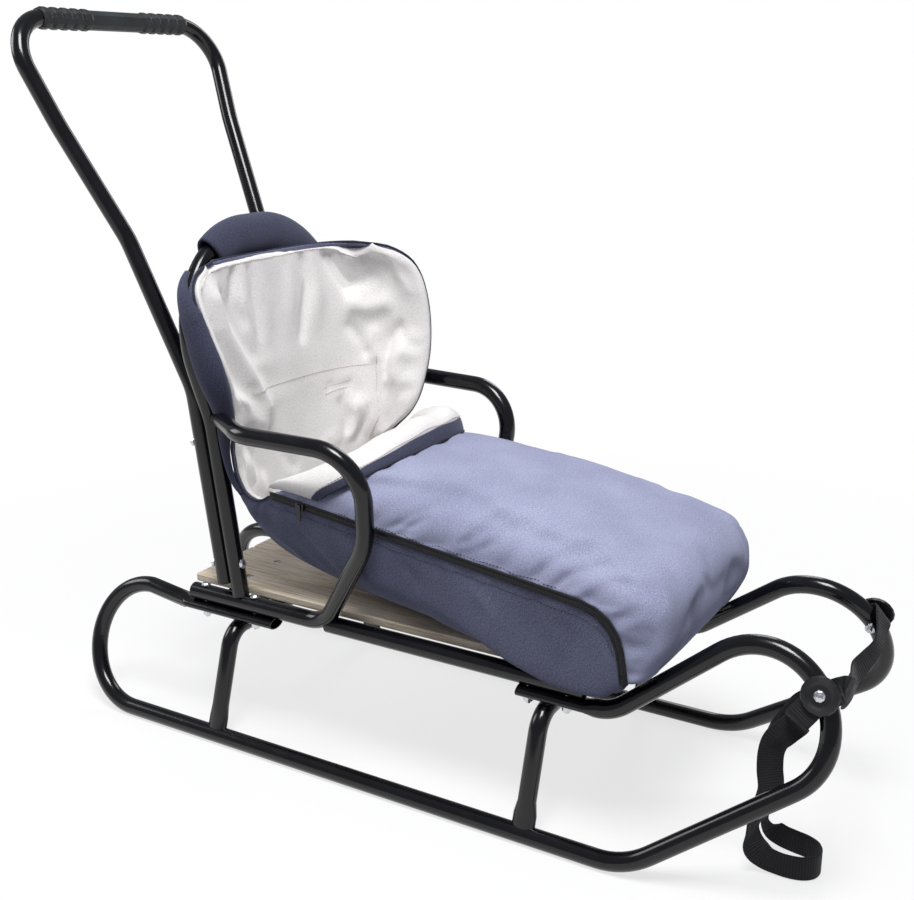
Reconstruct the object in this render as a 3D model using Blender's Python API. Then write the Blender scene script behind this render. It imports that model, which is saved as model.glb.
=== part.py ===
"""Sled stroller: a bent steel tube sled with runners, slatted seat, push handle, armrests,
a footmuff with an opening apron, and a pull strap.

Metres, +Z up.  The child faces -Y.  +X is the child's left.  The runners stand on z = 0 and the
origin is below the middle of the sled.
"""
import math

import bmesh
import bpy
from mathutils import Matrix, Vector

# Driving dimensions: gaps and mesh fineness
GAP = 0.0003                 # between pieces that touch
TUBE_SIDES = 12              # the bore has half as many
BEND_STEP = math.radians(20.0)

# tube stock
TUBE_R = 0.0100              # outer radius of every frame tube
TUBE_WALL = 0.0015
GROUND_Z = TUBE_R * math.cos(math.pi / TUBE_SIDES)
FLAT_H = 0.0130              # height of a pressed tube end
FLAT_W = 0.0250              # width of a pressed tube end

# runners: a closed-looking loop bent in one plane that leans inward at the top
TRACK_X = 0.1665             # runner centre to the middle of the sled, on the ground
SEAT_X = 0.1190              # seat rail centre to the middle of the sled
RAIL_Z = 0.1655              # seat rail centre
CURL_Y = 0.3620              # centre of the rear curl
CURL_R = 0.0730
UPPER_REAR_END_Y = 0.1660    # front end of the pressed rear part
UPPER_REAR_FLAT_Y = 0.3000   # where the pressed part begins
GROUND_BEND_Y = -0.3016      # where the ground line meets the rising line
GROUND_BEND_R = 0.0900
RISE_ANGLE = math.radians(36.5)
NOSE_FRONT_Y = -0.4785
NOSE_LOW_R = 0.0600
NOSE_R = 0.0720
NOSE_TOP_Z = 0.2430
NOSE_FALL = math.radians(38.4)
NOSE_FOOT_R = 0.0500
UPPER_FRONT_END_Y = -0.1580
UPPER_FRONT_FLAT_Y = -0.2350

# arches between the runners
ARCH_REAR_Y = 0.2250
ARCH_FRONT_Y = -0.1880
ARCH_SHOULDER_X = SEAT_X + 0.0110
ARCH_BEND_R = 0.0280
FOOT_W = 0.0265              # pressed foot, along the sled
FOOT_T = 0.0120
FOOT_LEN = 0.0400

# seat rails, armrests, slats
RAIL_REAR_Y = 0.2890
RAIL_FRONT_Y = -0.2330
ARM_Z = 0.3900
ARM_REAR_BEND = (0.1745, 0.1620, 0.3930)
ARM_FRONT_BEND = (0.1670, 0.0045, 0.3905)
ARM_KNEE = (0.1500, 0.0140, 0.2850)
ARM_ELBOW_Y = 0.0935
ARM_REAR_R = 0.0450
ARM_FRONT_R = 0.0550
ARM_KNEE_R = 0.0900
ARM_ELBOW_R = 0.0450
SLAT_TOP_Z = RAIL_Z + 0.0165
SLAT_T = 0.0100
SLAT_COUNT = 4
SLAT_FIELD_X = SEAT_X - TUBE_R - 0.0007    # half width of all slats together
SLAT_GAP = 0.0030
SLAT_REAR_Y = 0.2970
SLAT_FRONT_Y = -0.2300
STRAP_BAR_W = 0.0240         # steel bars below the slats
STRAP_BAR_T = 0.0030
STRAP_BAR_YS = (0.2340, -0.1650)

# backrest hoop and push handle
POST_X = SEAT_X
HOOP_Y0 = 0.2195             # hoop post centre at the handle's foot
POST_Z0 = RAIL_Z + TUBE_R + 0.0125          # foot of the handle, clear of the rail
RECLINE = 0.1416             # rearward run of the posts for each metre up
HOOP_FLARE_Z = 0.3850        # above this the posts lean outward
HOOP_CORNER_X = 0.1650       # where the lines of a side and the top would meet
HOOP_TOP_Z = 0.5910
HOOP_TOP_R = 0.1200
HOOP_FLARE_R = 0.1000
GRIP_Z = 0.8310
HANDLE_BEND_Z = 0.4190
HANDLE_RECLINE = 0.5220
HANDLE_UPPER_Z = GRIP_Z - 0.1160      # above this the legs stand a little steeper
HANDLE_UPPER_RECLINE = 0.4250
HANDLE_FLARE_Z = GRIP_Z - 0.2450
HANDLE_FLARE = 0.2300        # outward run for each metre up, above the flare
HANDLE_CORNER_R = 0.0520
GRIP_OVERRUN = 0.0075        # grip beyond the start of the handle's corners
GRIP_R = TUBE_R + 0.0015
GRIP_RIB_R = GRIP_R + 0.0013
GRIP_RIBS = 5
GRIP_RIB_ZONE = 0.0780       # ribbed length at each end of the grip

# fasteners
BOLT_R = 0.0030
HEAD_R = 0.0062
HEAD_H = 0.0036
NUT_R = 0.0055
NUT_H = 0.0042
RAIL_BOLT_YS = (HOOP_Y0 + 0.0525, HOOP_Y0 - 0.0225, ARCH_FRONT_Y + 0.0200, ARCH_FRONT_Y - 0.0250)
HANDLE_BOLT_ZS = (POST_Z0 + 0.0250, POST_Z0 + 0.1720)
NOSE_BOLT_ANGLE = math.radians(34.4)
WASHER_R = 0.0190
WASHER_T = 0.0050
SCREW_R = 0.0022
SCREW_HEAD_R = 0.0048
SCREW_HEAD_H = 0.0022
SCREW_SINK = 0.0026          # depth of the pocket that takes the screw head

# pull strap webbing
WEB_W = 0.0260
WEB_T = 0.0022
WEB_LAY = 0.0034             # room that the webbing takes below a nose washer

# footmuff: cloth thicknesses and seams
CLOTH_T = 0.0040             # outer cloth with its wadding
LINING_T = 0.0070
LINING_GAP = 0.0006
LINING_RIM = 0.0020          # how far the lining's rims stay below the cloth's rims
APRON_CLOTH_T = 0.0060
COLLAR_T = 0.0220
SEAM_PULL = 0.0006           # each panel stops this short of a seam
SEAT_LIFT = 0.00035          # bag above the slats
BACK_SEAM = 1.2400           # key of the body line where the back is sewn to the seat
FOLD_AT = 0.7600             # share of the zip at which the opened apron folds
COLLAR_SPAN = 0.1100         # share of the zip that the collar covers
SOFT_COLUMNS = 14

# zip line corners: beyond the seat rail's centre, along the sled, above the slats
ZIP_HEAD = (0.0075, 0.1600, 0.1290)
ZIP_TOE = (0.0200, -0.2720, 0.0820)
ZIP_FOOT = (0.0200, -0.2830, 0.0110)
ZIP_TOE_R = 0.0520
ZIP_HALF_GAP = 0.0018
ZIP_BASE_END = 0.9700        # the body's side panel ends a little above the apron's foot
TAPE_W = 0.0090
TAPE_T = 0.0012
SLIDER_Y = 0.1150
SLIDER_LEN = 0.0110
SLIDER_W = 0.0080
SLIDER_T = 0.0034
PULL_LEN = 0.0160
PULL_TOP = 0.0030            # pull tab above its pivot
PULL_W = 0.0050
PULL_T = 0.0012

# seat of the footmuff: key, spine y, spine above the slats
SEAT_LINE = [
    (0.00, -0.2805, SEAT_LIFT),
    (0.12, -0.2450, SEAT_LIFT),
    (0.45, -0.1150, SEAT_LIFT),
    (0.66, -0.0150, SEAT_LIFT),
    (0.82, 0.0700, 0.0020),
    (1.00, 0.1680, 0.0240),
]
SEAT_FULLNESS = [(0.0, 5.0), (0.12, 5.0), (0.45, 4.2), (0.66, 3.3), (0.82, 2.6), (1.0, 2.4)]
# back of the footmuff: key, spine in front of the hoop's centre, spine above the slats
BACK_LINE = [
    (1.15, 0.0253, 0.0540),
    (1.30, 0.0161, 0.0880),
    (1.45, 0.0153, 0.1280),
    (1.60, 0.0142, 0.1630),
    (1.75, 0.0139, 0.2030),
    (1.95, 0.0147, 0.2580),
    (2.15, 0.0150, 0.3130),
    (2.32, 0.0161, 0.3530),
    (2.42, 0.0171, 0.3740),
    (2.50, 0.0175, 0.3840),
]
# its edges: key, along the sled, above the slats, beyond the seat rail's centre, fullness.
# The left wing stands forward inside the armrest, and the right one lies back against the post.
LEFT_EDGE = [
    (1.00, 0.160, 0.128, 0.0075, 2.4),
    (1.15, 0.176, 0.119, 0.0075, 2.4),
    (1.30, 0.180, 0.123, 0.0075, 2.4),
    (1.45, 0.162, 0.145, 0.0085, 2.4),
    (1.60, 0.134, 0.175, 0.0130, 2.6),
    (1.75, 0.123, 0.206, 0.0220, 2.8),
    (1.95, 0.120, 0.258, 0.0360, 2.7),
    (2.15, 0.126, 0.318, 0.0390, 2.6),
    (2.32, 0.142, 0.361, 0.0330, 2.8),
    (2.42, 0.168, 0.381, 0.0160, 3.0),
    (2.50, 0.205, 0.387, -0.0070, 3.0),
]
RIGHT_EDGE = [
    (1.00, 0.160, 0.128, 0.0075, 2.4),
    (1.15, 0.178, 0.119, 0.0075, 2.4),
    (1.30, 0.197, 0.123, 0.0065, 2.6),
    (1.45, 0.211, 0.142, 0.0045, 3.0),
    (1.60, 0.217, 0.170, 0.0035, 3.0),
    (1.75, 0.213, 0.208, 0.0035, 2.8),
    (1.95, 0.207, 0.263, 0.0220, 4.0),
    (2.15, 0.222, 0.318, 0.0320, 5.0),
    (2.32, 0.236, 0.356, 0.0320, 5.0),
    (2.42, 0.243, 0.376, 0.0160, 4.0),
    (2.50, 0.246, 0.385, -0.0140, 3.0),
]
# crown of the apron: share of the zip, crown y, crown above the slats, fullness
CROWN_LINE = [
    (0.00, 0.0600, 0.1680, 2.9),
    (0.18, 0.0020, 0.1700, 3.0),
    (0.36, -0.0700, 0.1650, 3.2),
    (0.54, -0.1400, 0.1550, 3.4),
    (0.70, -0.2120, 0.1390, 3.8),
    (0.78, -0.2570, 0.1270, 4.4),
    (0.85, -0.2970, 0.1070, 5.0),
    (0.91, -0.3200, 0.0790, 5.5),
    (0.96, -0.3240, 0.0450, 5.0),
    (1.00, -0.3060, 0.0135, 4.0),
]

# sleeve over the top of the hoop
POCKET_XS = (-0.0800, 0.1220)
POCKET_HALF_Z = 0.0270
POCKET_PAD = 0.0052          # half the sleeve's width beyond the tube
POCKET_T = 0.0030
POCKET_DROP = 0.0080
POCKET_SIDES = 14

# Materials
MATERIALS = {
    "black_painted_steel": ((0.006, 0.006, 0.008), 0.0, 0.22),
    "black_rubber": ((0.014, 0.016, 0.018), 0.0, 0.65),
    "pale_wood": ((0.55, 0.47, 0.38), 0.0, 0.60),
    "zinc_steel": ((0.60, 0.60, 0.58), 1.0, 0.30),
    "black_plastic": ((0.010, 0.010, 0.011), 0.0, 0.45),
    "black_webbing": ((0.008, 0.008, 0.010), 0.0, 0.85),
    "grey_melange_fabric": ((0.12, 0.13, 0.18), 0.0, 0.85),
    "cream_fleece": ((0.82, 0.78, 0.70), 0.0, 0.95),
}


def material(name):
    found = bpy.data.materials.get(name)
    if found:
        return found
    colour, metallic, rough = MATERIALS[name]
    made = bpy.data.materials.new(name)
    made.use_nodes = True
    shader = made.node_tree.nodes["Principled BSDF"]
    shader.inputs["Base Color"].default_value = (*colour, 1.0)
    shader.inputs["Metallic"].default_value = metallic
    shader.inputs["Roughness"].default_value = rough
    made.diffuse_color = (*colour, 1.0)
    return made


# Mesh helpers
def set_origin(obj, point):
    """Put an object's origin on its joint, with its shape left where it is."""
    obj.data.transform(Matrix.Translation(-Vector(point)))
    obj.location = point


def add_object(name, bm, mat, smooth=True):
    bmesh.ops.recalc_face_normals(bm, faces=bm.faces)
    mesh = bpy.data.meshes.new(name)
    bm.to_mesh(mesh)
    bm.free()
    for poly in mesh.polygons:
        poly.use_smooth = smooth
    mesh.materials.append(material(mat))
    obj = bpy.data.objects.new(name, mesh)
    bpy.context.scene.collection.objects.link(obj)
    return obj


def fillet_path(points, radii):
    """Corner points joined by straight lines, each inner corner rounded by its radius."""
    points = [Vector(p) for p in points]
    path = [points[0]]
    for before, corner, after, radius in zip(points, points[1:], points[2:], radii):
        inward = (before - corner).normalized()
        outward = (after - corner).normalized()
        turn = math.pi - inward.angle(outward)
        if radius <= 0.0 or turn < 1e-4:
            path.append(corner)
            continue
        reach = radius * math.tan(turn / 2.0)
        centre = corner + (inward + outward).normalized() * (radius / math.cos(turn / 2.0))
        start = corner + inward * reach - centre
        axis = start.cross(corner + outward * reach - centre).normalized()
        steps = max(2, math.ceil(turn / BEND_STEP))
        for k in range(steps + 1):
            path.append(centre + Matrix.Rotation(turn * k / steps, 3, axis) @ start)
    path.append(points[-1])
    return path


def path_frames(path, side_hint, level=False):
    """A side and an up vector at each path point: carried along, or kept to the hint if level."""
    tangents = []
    for i, here in enumerate(path):
        ahead = (path[min(i + 1, len(path) - 1)] - here).normalized()
        behind = (here - path[max(i - 1, 0)]).normalized()
        tangents.append((ahead + behind).normalized())
    side = Vector(side_hint)
    frames = []
    for tangent in tangents:
        start = Vector(side_hint) if level else side
        side = (start - tangent * start.dot(tangent)).normalized()
        frames.append((side, tangent.cross(side)))
    return frames


def ring(centre, frame, half_side, half_up, sides):
    side, up = frame
    turns = [2.0 * math.pi * (k + 0.5) / sides for k in range(sides)]
    return [centre + side * (half_side * math.cos(t)) + up * (half_up * math.sin(t)) for t in turns]


def skin(bm, rings, closed_loop=True):
    """Quads between neighbouring rings; returns the rings as mesh vertices."""
    rows = [[bm.verts.new(p) for p in r] for r in rings]
    count = len(rows[0])
    last = count if closed_loop else count - 1
    for low, high in zip(rows, rows[1:]):
        for k in range(last):
            j = (k + 1) % count
            bm.faces.new((low[k], low[j], high[j], high[k]))
    return rows


def tube(name, path, mat, side_hint=(1, 0, 0), section=None, wall=TUBE_WALL, sides=TUBE_SIDES,
         level=False):
    """A hollow tube along path; section gives the half side and half up size at a point."""
    section = section or (lambda point: (TUBE_R, TUBE_R))
    frames = path_frames(path, side_hint, level)
    sizes = [section(p) for p in path]
    bm = bmesh.new()
    outer = skin(bm, [ring(p, f, a, b, sides) for p, f, (a, b) in zip(path, frames, sizes)])
    if wall:
        inner = skin(bm, [ring(p, f, a - wall, b - wall, sides // 2)
                          for p, f, (a, b) in zip(path, frames, sizes)])
        for end in (0, -1):
            end_face(bm, outer[end], inner[end])
    else:
        bm.faces.new(outer[0])
        bm.faces.new(outer[-1])
    return add_object(name, bm, mat)


def end_face(bm, outer, inner):
    """The flat end of a tube, from an outer ring to a bore ring of half as many points."""
    count = len(outer)
    for k in range(len(inner)):
        here, after = inner[k], inner[(k + 1) % len(inner)]
        first, middle, last = outer[2 * k], outer[2 * k + 1], outer[(2 * k + 2) % count]
        bm.faces.new((first, middle, here))
        bm.faces.new((middle, after, here))
        bm.faces.new((middle, last, after))


def turned(name, base, axis, profile, mat, sides=16, smooth=True):
    """A solid of revolution: profile is (distance along axis, radius) from end to end."""
    base, axis = Vector(base), Vector(axis).normalized()
    side = axis.orthogonal().normalized()
    up = axis.cross(side)
    bm = bmesh.new()
    rows = skin(bm, [ring(base + axis * d, (side, up), r, r, sides) for d, r in profile])
    bm.faces.new(rows[0])
    bm.faces.new(rows[-1])
    return add_object(name, bm, mat, smooth)


def box(name, centre, size, mat, bevel=0.0):
    bm = bmesh.new()
    bmesh.ops.create_cube(bm, size=1.0)
    bmesh.ops.scale(bm, vec=Vector(size), verts=bm.verts)
    if bevel:
        bmesh.ops.bevel(bm, geom=list(bm.edges), offset=bevel, segments=1, affect="EDGES")
    bmesh.ops.translate(bm, vec=Vector(centre), verts=bm.verts)
    return add_object(name, bm, mat, smooth=False)


def shell(name, outer_rows, inner_rows, mat):
    """A sheet with thickness: two grids of points, closed round their shared rim."""
    bm = bmesh.new()
    outer = skin(bm, outer_rows, closed_loop=False)
    inner = skin(bm, inner_rows, closed_loop=False)
    rim_out = outer[0] + [r[-1] for r in outer[1:]] + outer[-1][-2::-1] + [r[0] for r in outer[-2:0:-1]]
    rim_in = inner[0] + [r[-1] for r in inner[1:]] + inner[-1][-2::-1] + [r[0] for r in inner[-2:0:-1]]
    for k in range(len(rim_out)):
        j = (k + 1) % len(rim_out)
        bm.faces.new((rim_out[k], rim_out[j], rim_in[j], rim_in[k]))
    return add_object(name, bm, mat)


def cut(obj, cutters):
    """Take the cutters out of obj with exact booleans, then drop the cutters."""
    for cutter in cutters:
        change = obj.modifiers.new("cut", "BOOLEAN")
        change.operation = "DIFFERENCE"
        change.solver = "EXACT"
        change.object = cutter
        graph = bpy.context.evaluated_depsgraph_get()
        fresh = bpy.data.meshes.new_from_object(obj.evaluated_get(graph))
        obj.modifiers.clear()
        stale = obj.data
        obj.data = fresh
        fresh.name = obj.name
        bpy.data.meshes.remove(stale)
    for cutter in cutters:
        bpy.data.objects.remove(cutter, do_unlink=True)
    for poly in obj.data.polygons:
        poly.use_smooth = True
    return obj


def drill(base, axis, length, radius=BOLT_R + GAP):
    """A straight cutter for a bolt hole."""
    return turned("hole", base, axis, [(0.0, radius), (length, radius)], "zinc_steel", sides=10)


def solid_along(path, radius, side_hint=(1, 0, 0)):
    """A round solid cutter along a tube's path."""
    return tube("cutter", path, "zinc_steel", side_hint, lambda point: (radius, radius), wall=0.0)


def mirrored(point, side):
    return Vector((abs(point[0]) * side, point[1], point[2]))


SIDES = (("right", -1), ("left", 1))

# Shared lines
RUNNER_END_Z = RAIL_Z - TUBE_R - GAP - FLAT_H / 2.0
RUNNER_LEAN = (TRACK_X - SEAT_X) / (RUNNER_END_Z - GROUND_Z)


def runner_x(z):
    """The runner plane: how far out the tube centre lies at a height."""
    return TRACK_X - RUNNER_LEAN * (z - GROUND_Z)


def runner_path(side):
    curl_top = GROUND_Z + 2.0 * CURL_R
    rise = math.tan(RISE_ANGLE)
    nose_turn = math.pi / 2.0 + NOSE_FALL
    nose_corner_z = NOSE_TOP_Z - NOSE_R + NOSE_R * math.tan(nose_turn / 2.0)
    foot_y = NOSE_FRONT_Y + (nose_corner_z - RUNNER_END_Z) / math.tan(NOSE_FALL)
    corners = [
        (UPPER_REAR_END_Y, RUNNER_END_Z),
        (UPPER_REAR_FLAT_Y, RUNNER_END_Z),
        (CURL_Y, curl_top),
        (CURL_Y + CURL_R, curl_top),
        (CURL_Y + CURL_R, GROUND_Z),
        (GROUND_BEND_Y, GROUND_Z),
        (NOSE_FRONT_Y, GROUND_Z + rise * (GROUND_BEND_Y - NOSE_FRONT_Y)),
        (NOSE_FRONT_Y, nose_corner_z),
        (foot_y, RUNNER_END_Z),
        (UPPER_FRONT_END_Y, RUNNER_END_Z),
    ]
    radii = [0.08, 0.0, CURL_R, CURL_R, GROUND_BEND_R, NOSE_LOW_R, NOSE_R, NOSE_FOOT_R]
    flat = fillet_path([(0.0, y, z) for y, z in corners], radii)
    path = [Vector((side * runner_x(p.z), p.y, p.z)) for p in flat]
    # extra points where the pressed ends begin and finish
    ends = []
    for y in (UPPER_REAR_FLAT_Y - 0.012, UPPER_REAR_FLAT_Y - 0.035):
        ends.append(Vector((side * SEAT_X, y, RUNNER_END_Z)))
    path[1:1] = list(reversed(ends))
    path.insert(-1, Vector((side * SEAT_X, UPPER_FRONT_FLAT_Y, RUNNER_END_Z)))
    return path


def runner_section(point):
    """Round tube, pressed flat where it lies under a seat rail."""
    low_enough = abs(point.z - RUNNER_END_Z) < 0.0035
    under_rail = (point.y < UPPER_REAR_FLAT_Y + 0.001 and point.y > 0) or \
                 (point.y > UPPER_FRONT_FLAT_Y - 0.001 and point.y < 0)
    if low_enough and under_rail:
        return (FLAT_W / 2.0, FLAT_H / 2.0)
    return (TUBE_R, TUBE_R)


def hoop_y(z):
    return HOOP_Y0 + RECLINE * (z - POST_Z0)


POST_STEP = (2.0 * TUBE_R + GAP) * math.sqrt(1.0 + RECLINE ** 2)
POST_DIR = Vector((0.0, RECLINE, 1.0)).normalized()
POST_FRONT = Vector((0.0, -1.0, RECLINE)).normalized()


def arm_path(side):
    start = (POST_X, hoop_y(ARM_Z), ARM_Z)
    corners = [start, ARM_REAR_BEND, ARM_FRONT_BEND, ARM_KNEE,
               (SEAT_X, ARM_ELBOW_Y, RAIL_Z), (SEAT_X, RAIL_REAR_Y, RAIL_Z)]
    radii = [ARM_REAR_R, ARM_FRONT_R, ARM_KNEE_R, ARM_ELBOW_R]
    return fillet_path([mirrored(c, side) for c in corners], radii)


def hoop_path():
    half = [(POST_X, RAIL_Z), (POST_X, HOOP_FLARE_Z), (HOOP_CORNER_X, HOOP_TOP_Z)]
    corners = half + [(-x, z) for x, z in reversed(half)]
    radii = [HOOP_FLARE_R, HOOP_TOP_R, HOOP_TOP_R, HOOP_FLARE_R]
    return fillet_path([(x, hoop_y(z), z) for x, z in corners], radii)


def handle_y(z):
    lower = hoop_y(min(z, HANDLE_BEND_Z)) + POST_STEP
    middle = HANDLE_RECLINE * max(0.0, min(z, HANDLE_UPPER_Z) - HANDLE_BEND_Z)
    return lower + middle + HANDLE_UPPER_RECLINE * max(0.0, z - HANDLE_UPPER_Z)


def handle_path():
    upper_x = POST_X + HANDLE_FLARE * (HANDLE_UPPER_Z - HANDLE_FLARE_Z)
    top_x = POST_X + HANDLE_FLARE * (GRIP_Z - HANDLE_FLARE_Z)
    half = [(POST_X, POST_Z0), (POST_X, HANDLE_BEND_Z), (POST_X, HANDLE_FLARE_Z),
            (upper_x, HANDLE_UPPER_Z), (top_x, GRIP_Z)]
    corners = half + [(-x, z) for x, z in reversed(half)]
    radii = [0.07, 0.09, 0.25, HANDLE_CORNER_R]
    radii = radii + radii[::-1]
    return fillet_path([(x, handle_y(z), z) for x, z in corners], radii)


# Frame pieces
def build_runners():
    for label, side in SIDES:
        runner = tube(f"runner_{label}", runner_path(side), "black_painted_steel",
                      section=runner_section, level=True)
        holes = [drill((side * SEAT_X, y, RUNNER_END_Z - 0.02), (0, 0, 1), 0.04)
                 for y in RAIL_BOLT_YS]
        holes.append(drill(nose_point(side) - nose_axis(side) * 0.02, nose_axis(side), 0.04))
        cut(runner, holes)


def nose_point(side):
    y = NOSE_FRONT_Y + NOSE_R - NOSE_R * math.cos(NOSE_BOLT_ANGLE)
    z = NOSE_TOP_Z - NOSE_R + NOSE_R * math.sin(NOSE_BOLT_ANGLE)
    return Vector((side * runner_x(z), y, z))


def nose_axis(side):
    """Square to the runner plane, pointing away from the sled."""
    return Vector((side, 0.0, RUNNER_LEAN)).normalized()


def build_arches():
    top_z = RUNNER_END_Z - FLAT_H / 2.0 - GAP - TUBE_R
    for label, y in (("rear", ARCH_REAR_Y), ("front", ARCH_FRONT_Y)):
        half = [(TRACK_X, y, GROUND_Z), (ARCH_SHOULDER_X, y, top_z)]
        corners = half + [(-x, yy, z) for x, yy, z in reversed(half)]
        path = fillet_path(corners, [ARCH_BEND_R, ARCH_BEND_R])
        down = (path[0] - path[1]).normalized()
        foot_top = path[0] - down * FOOT_LEN
        foot_low = path[0] - down * (FOOT_LEN * 0.55)
        mirror = [Vector((-p.x, p.y, p.z)) for p in (foot_low, foot_top)]
        path = [path[0], foot_low, foot_top] + path[1:-1] + [mirror[1], mirror[0], path[-1]]

        def section(point, low=foot_low.z):
            if point.z <= low + 1e-5:
                return (FOOT_T / 2.0, FOOT_W / 2.0)
            return (TUBE_R, TUBE_R)

        arch = tube(f"arch_{label}", path, "black_painted_steel", side_hint=(0.3, 0, 1),
                    section=section)
        saddles = [solid_along([Vector((s * TRACK_X, y - 0.03, GROUND_Z)),
                                Vector((s * TRACK_X, y + 0.03, GROUND_Z))], TUBE_R + GAP)
                   for _, s in SIDES]
        cut(arch, saddles)


def build_rails_and_arms():
    for label, side in SIDES:
        arm = tube(f"armrest_{label}", arm_path(side), "black_painted_steel")
        post = solid_along(hoop_path(), TUBE_R + GAP, (0, 1, 0))
        holes = [drill((side * SEAT_X, y, RAIL_Z - 0.02), (0, 0, 1), 0.04)
                 for y in RAIL_BOLT_YS if y > 0]
        cut(arm, [post] + holes)
        rail_line = [Vector((side * SEAT_X, ARM_ELBOW_Y + 0.004, RAIL_Z)),
                     Vector((side * SEAT_X, RAIL_FRONT_Y, RAIL_Z))]
        rail = tube(f"seat_rail_{label}", rail_line, "black_painted_steel")
        elbow = solid_along(arm_path(side), TUBE_R + GAP)
        holes = [drill((side * SEAT_X, y, RAIL_Z - 0.02), (0, 0, 1), 0.04)
                 for y in RAIL_BOLT_YS if y < 0]
        cut(rail, [elbow] + holes)


def post_holes():
    """Cutters for the bolts that join each handle leg to its hoop post."""
    holes = []
    for _, side in SIDES:
        for z in HANDLE_BOLT_ZS:
            middle = Vector((side * POST_X, hoop_y(z), z))
            holes.append(drill(middle + POST_FRONT * 0.02, -POST_FRONT, 0.06))
    return holes


def build_hoop():
    hoop = tube("backrest_hoop", hoop_path(), "black_painted_steel", side_hint=(0, 1, 0))
    saddles = [solid_along([Vector((s * SEAT_X, HOOP_Y0 - 0.04, RAIL_Z)),
                            Vector((s * SEAT_X, HOOP_Y0 + 0.04, RAIL_Z))], TUBE_R + GAP)
               for _, s in SIDES]
    cut(hoop, saddles + post_holes())
    keep_above(hoop, RAIL_Z)


def keep_above(obj, z):
    """Drop loose slivers that a saddle cut leaves below a height."""
    bm = bmesh.new()
    bm.from_mesh(obj.data)
    seen = set()
    doomed = []
    for seed in bm.verts:
        if seed in seen:
            continue
        island, stack = [], [seed]
        seen.add(seed)
        while stack:
            here = stack.pop()
            island.append(here)
            for edge in here.link_edges:
                other = edge.other_vert(here)
                if other not in seen:
                    seen.add(other)
                    stack.append(other)
        if max(v.co.z for v in island) < z + 0.02:
            doomed += island
    bmesh.ops.delete(bm, geom=doomed, context="VERTS")
    bm.to_mesh(obj.data)
    bm.free()


def grip_half():
    """Half the grip's length: the handle's straight top, and a little of both corners."""
    legs = HANDLE_FLARE * (GRIP_Z - HANDLE_FLARE_Z)
    leg = Vector((HANDLE_FLARE, HANDLE_UPPER_RECLINE, 1.0))
    turn = math.pi - leg.angle(Vector((1.0, 0.0, 0.0)))
    return POST_X + legs - HANDLE_CORNER_R * math.tan(turn / 2.0) + GRIP_OVERRUN


def build_handle():
    handle = tube("push_handle", handle_path(), "black_painted_steel", side_hint=(0, 1, 0))
    cut(handle, post_holes())
    grip = turned("handle_grip", (0.0, handle_y(GRIP_Z), GRIP_Z), (1, 0, 0), grip_profile(),
                  "black_rubber", 12)
    cut(grip, [solid_along(handle_path(), TUBE_R + GAP, (0, 1, 0))])


def grip_profile():
    """Distance along the grip and radius: ribs near both ends, smooth in the middle."""
    pitch = GRIP_RIB_ZONE / GRIP_RIBS
    half = []
    for k in range(GRIP_RIBS):
        start = grip_half() - k * pitch
        half += [(start, GRIP_R), (start - pitch * 0.22, GRIP_RIB_R),
                 (start - pitch * 0.66, GRIP_RIB_R), (start - pitch * 0.86, GRIP_R)]
    return [(-x, r) for x, r in half] + [(x, r) for x, r in reversed(half)]


def build_plugs():
    """Push-in plastic ends of the handle legs and the rear seat rails."""
    bore = (TUBE_R - TUBE_WALL) * math.cos(math.pi / 6.0) - GAP
    profile = [(0.0, TUBE_R * 0.80), (0.0012, TUBE_R * 0.98), (0.0024, TUBE_R * 0.98),
               (0.0024, bore), (0.0100, bore - 0.0004)]
    lip = 0.0024 + GAP
    for label, side in SIDES:
        foot = Vector((side * POST_X, handle_y(POST_Z0), POST_Z0))
        turned(f"handle_plug_{label}", foot - POST_DIR * lip, POST_DIR, profile, "black_plastic", 14)
        tail = Vector((side * SEAT_X, RAIL_REAR_Y, RAIL_Z))
        turned(f"rail_plug_{label}", tail + Vector((0, lip, 0)), (0, -1, 0), profile,
               "black_plastic", 14)


def bolt_profile(grip):
    """Domed head, shank through the grip length, and the nut run up on the far side."""
    dome = [(-HEAD_H * math.cos(a), max(0.0008, HEAD_R * math.sin(a)))
            for a in (0.2, 0.7, 1.15, math.pi / 2.0)]
    return dome + [(0.0, BOLT_R), (grip, BOLT_R), (grip, NUT_R), (grip + NUT_H, NUT_R),
                   (grip + NUT_H, BOLT_R), (grip + NUT_H + 0.003, BOLT_R * 0.9)]


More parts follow.
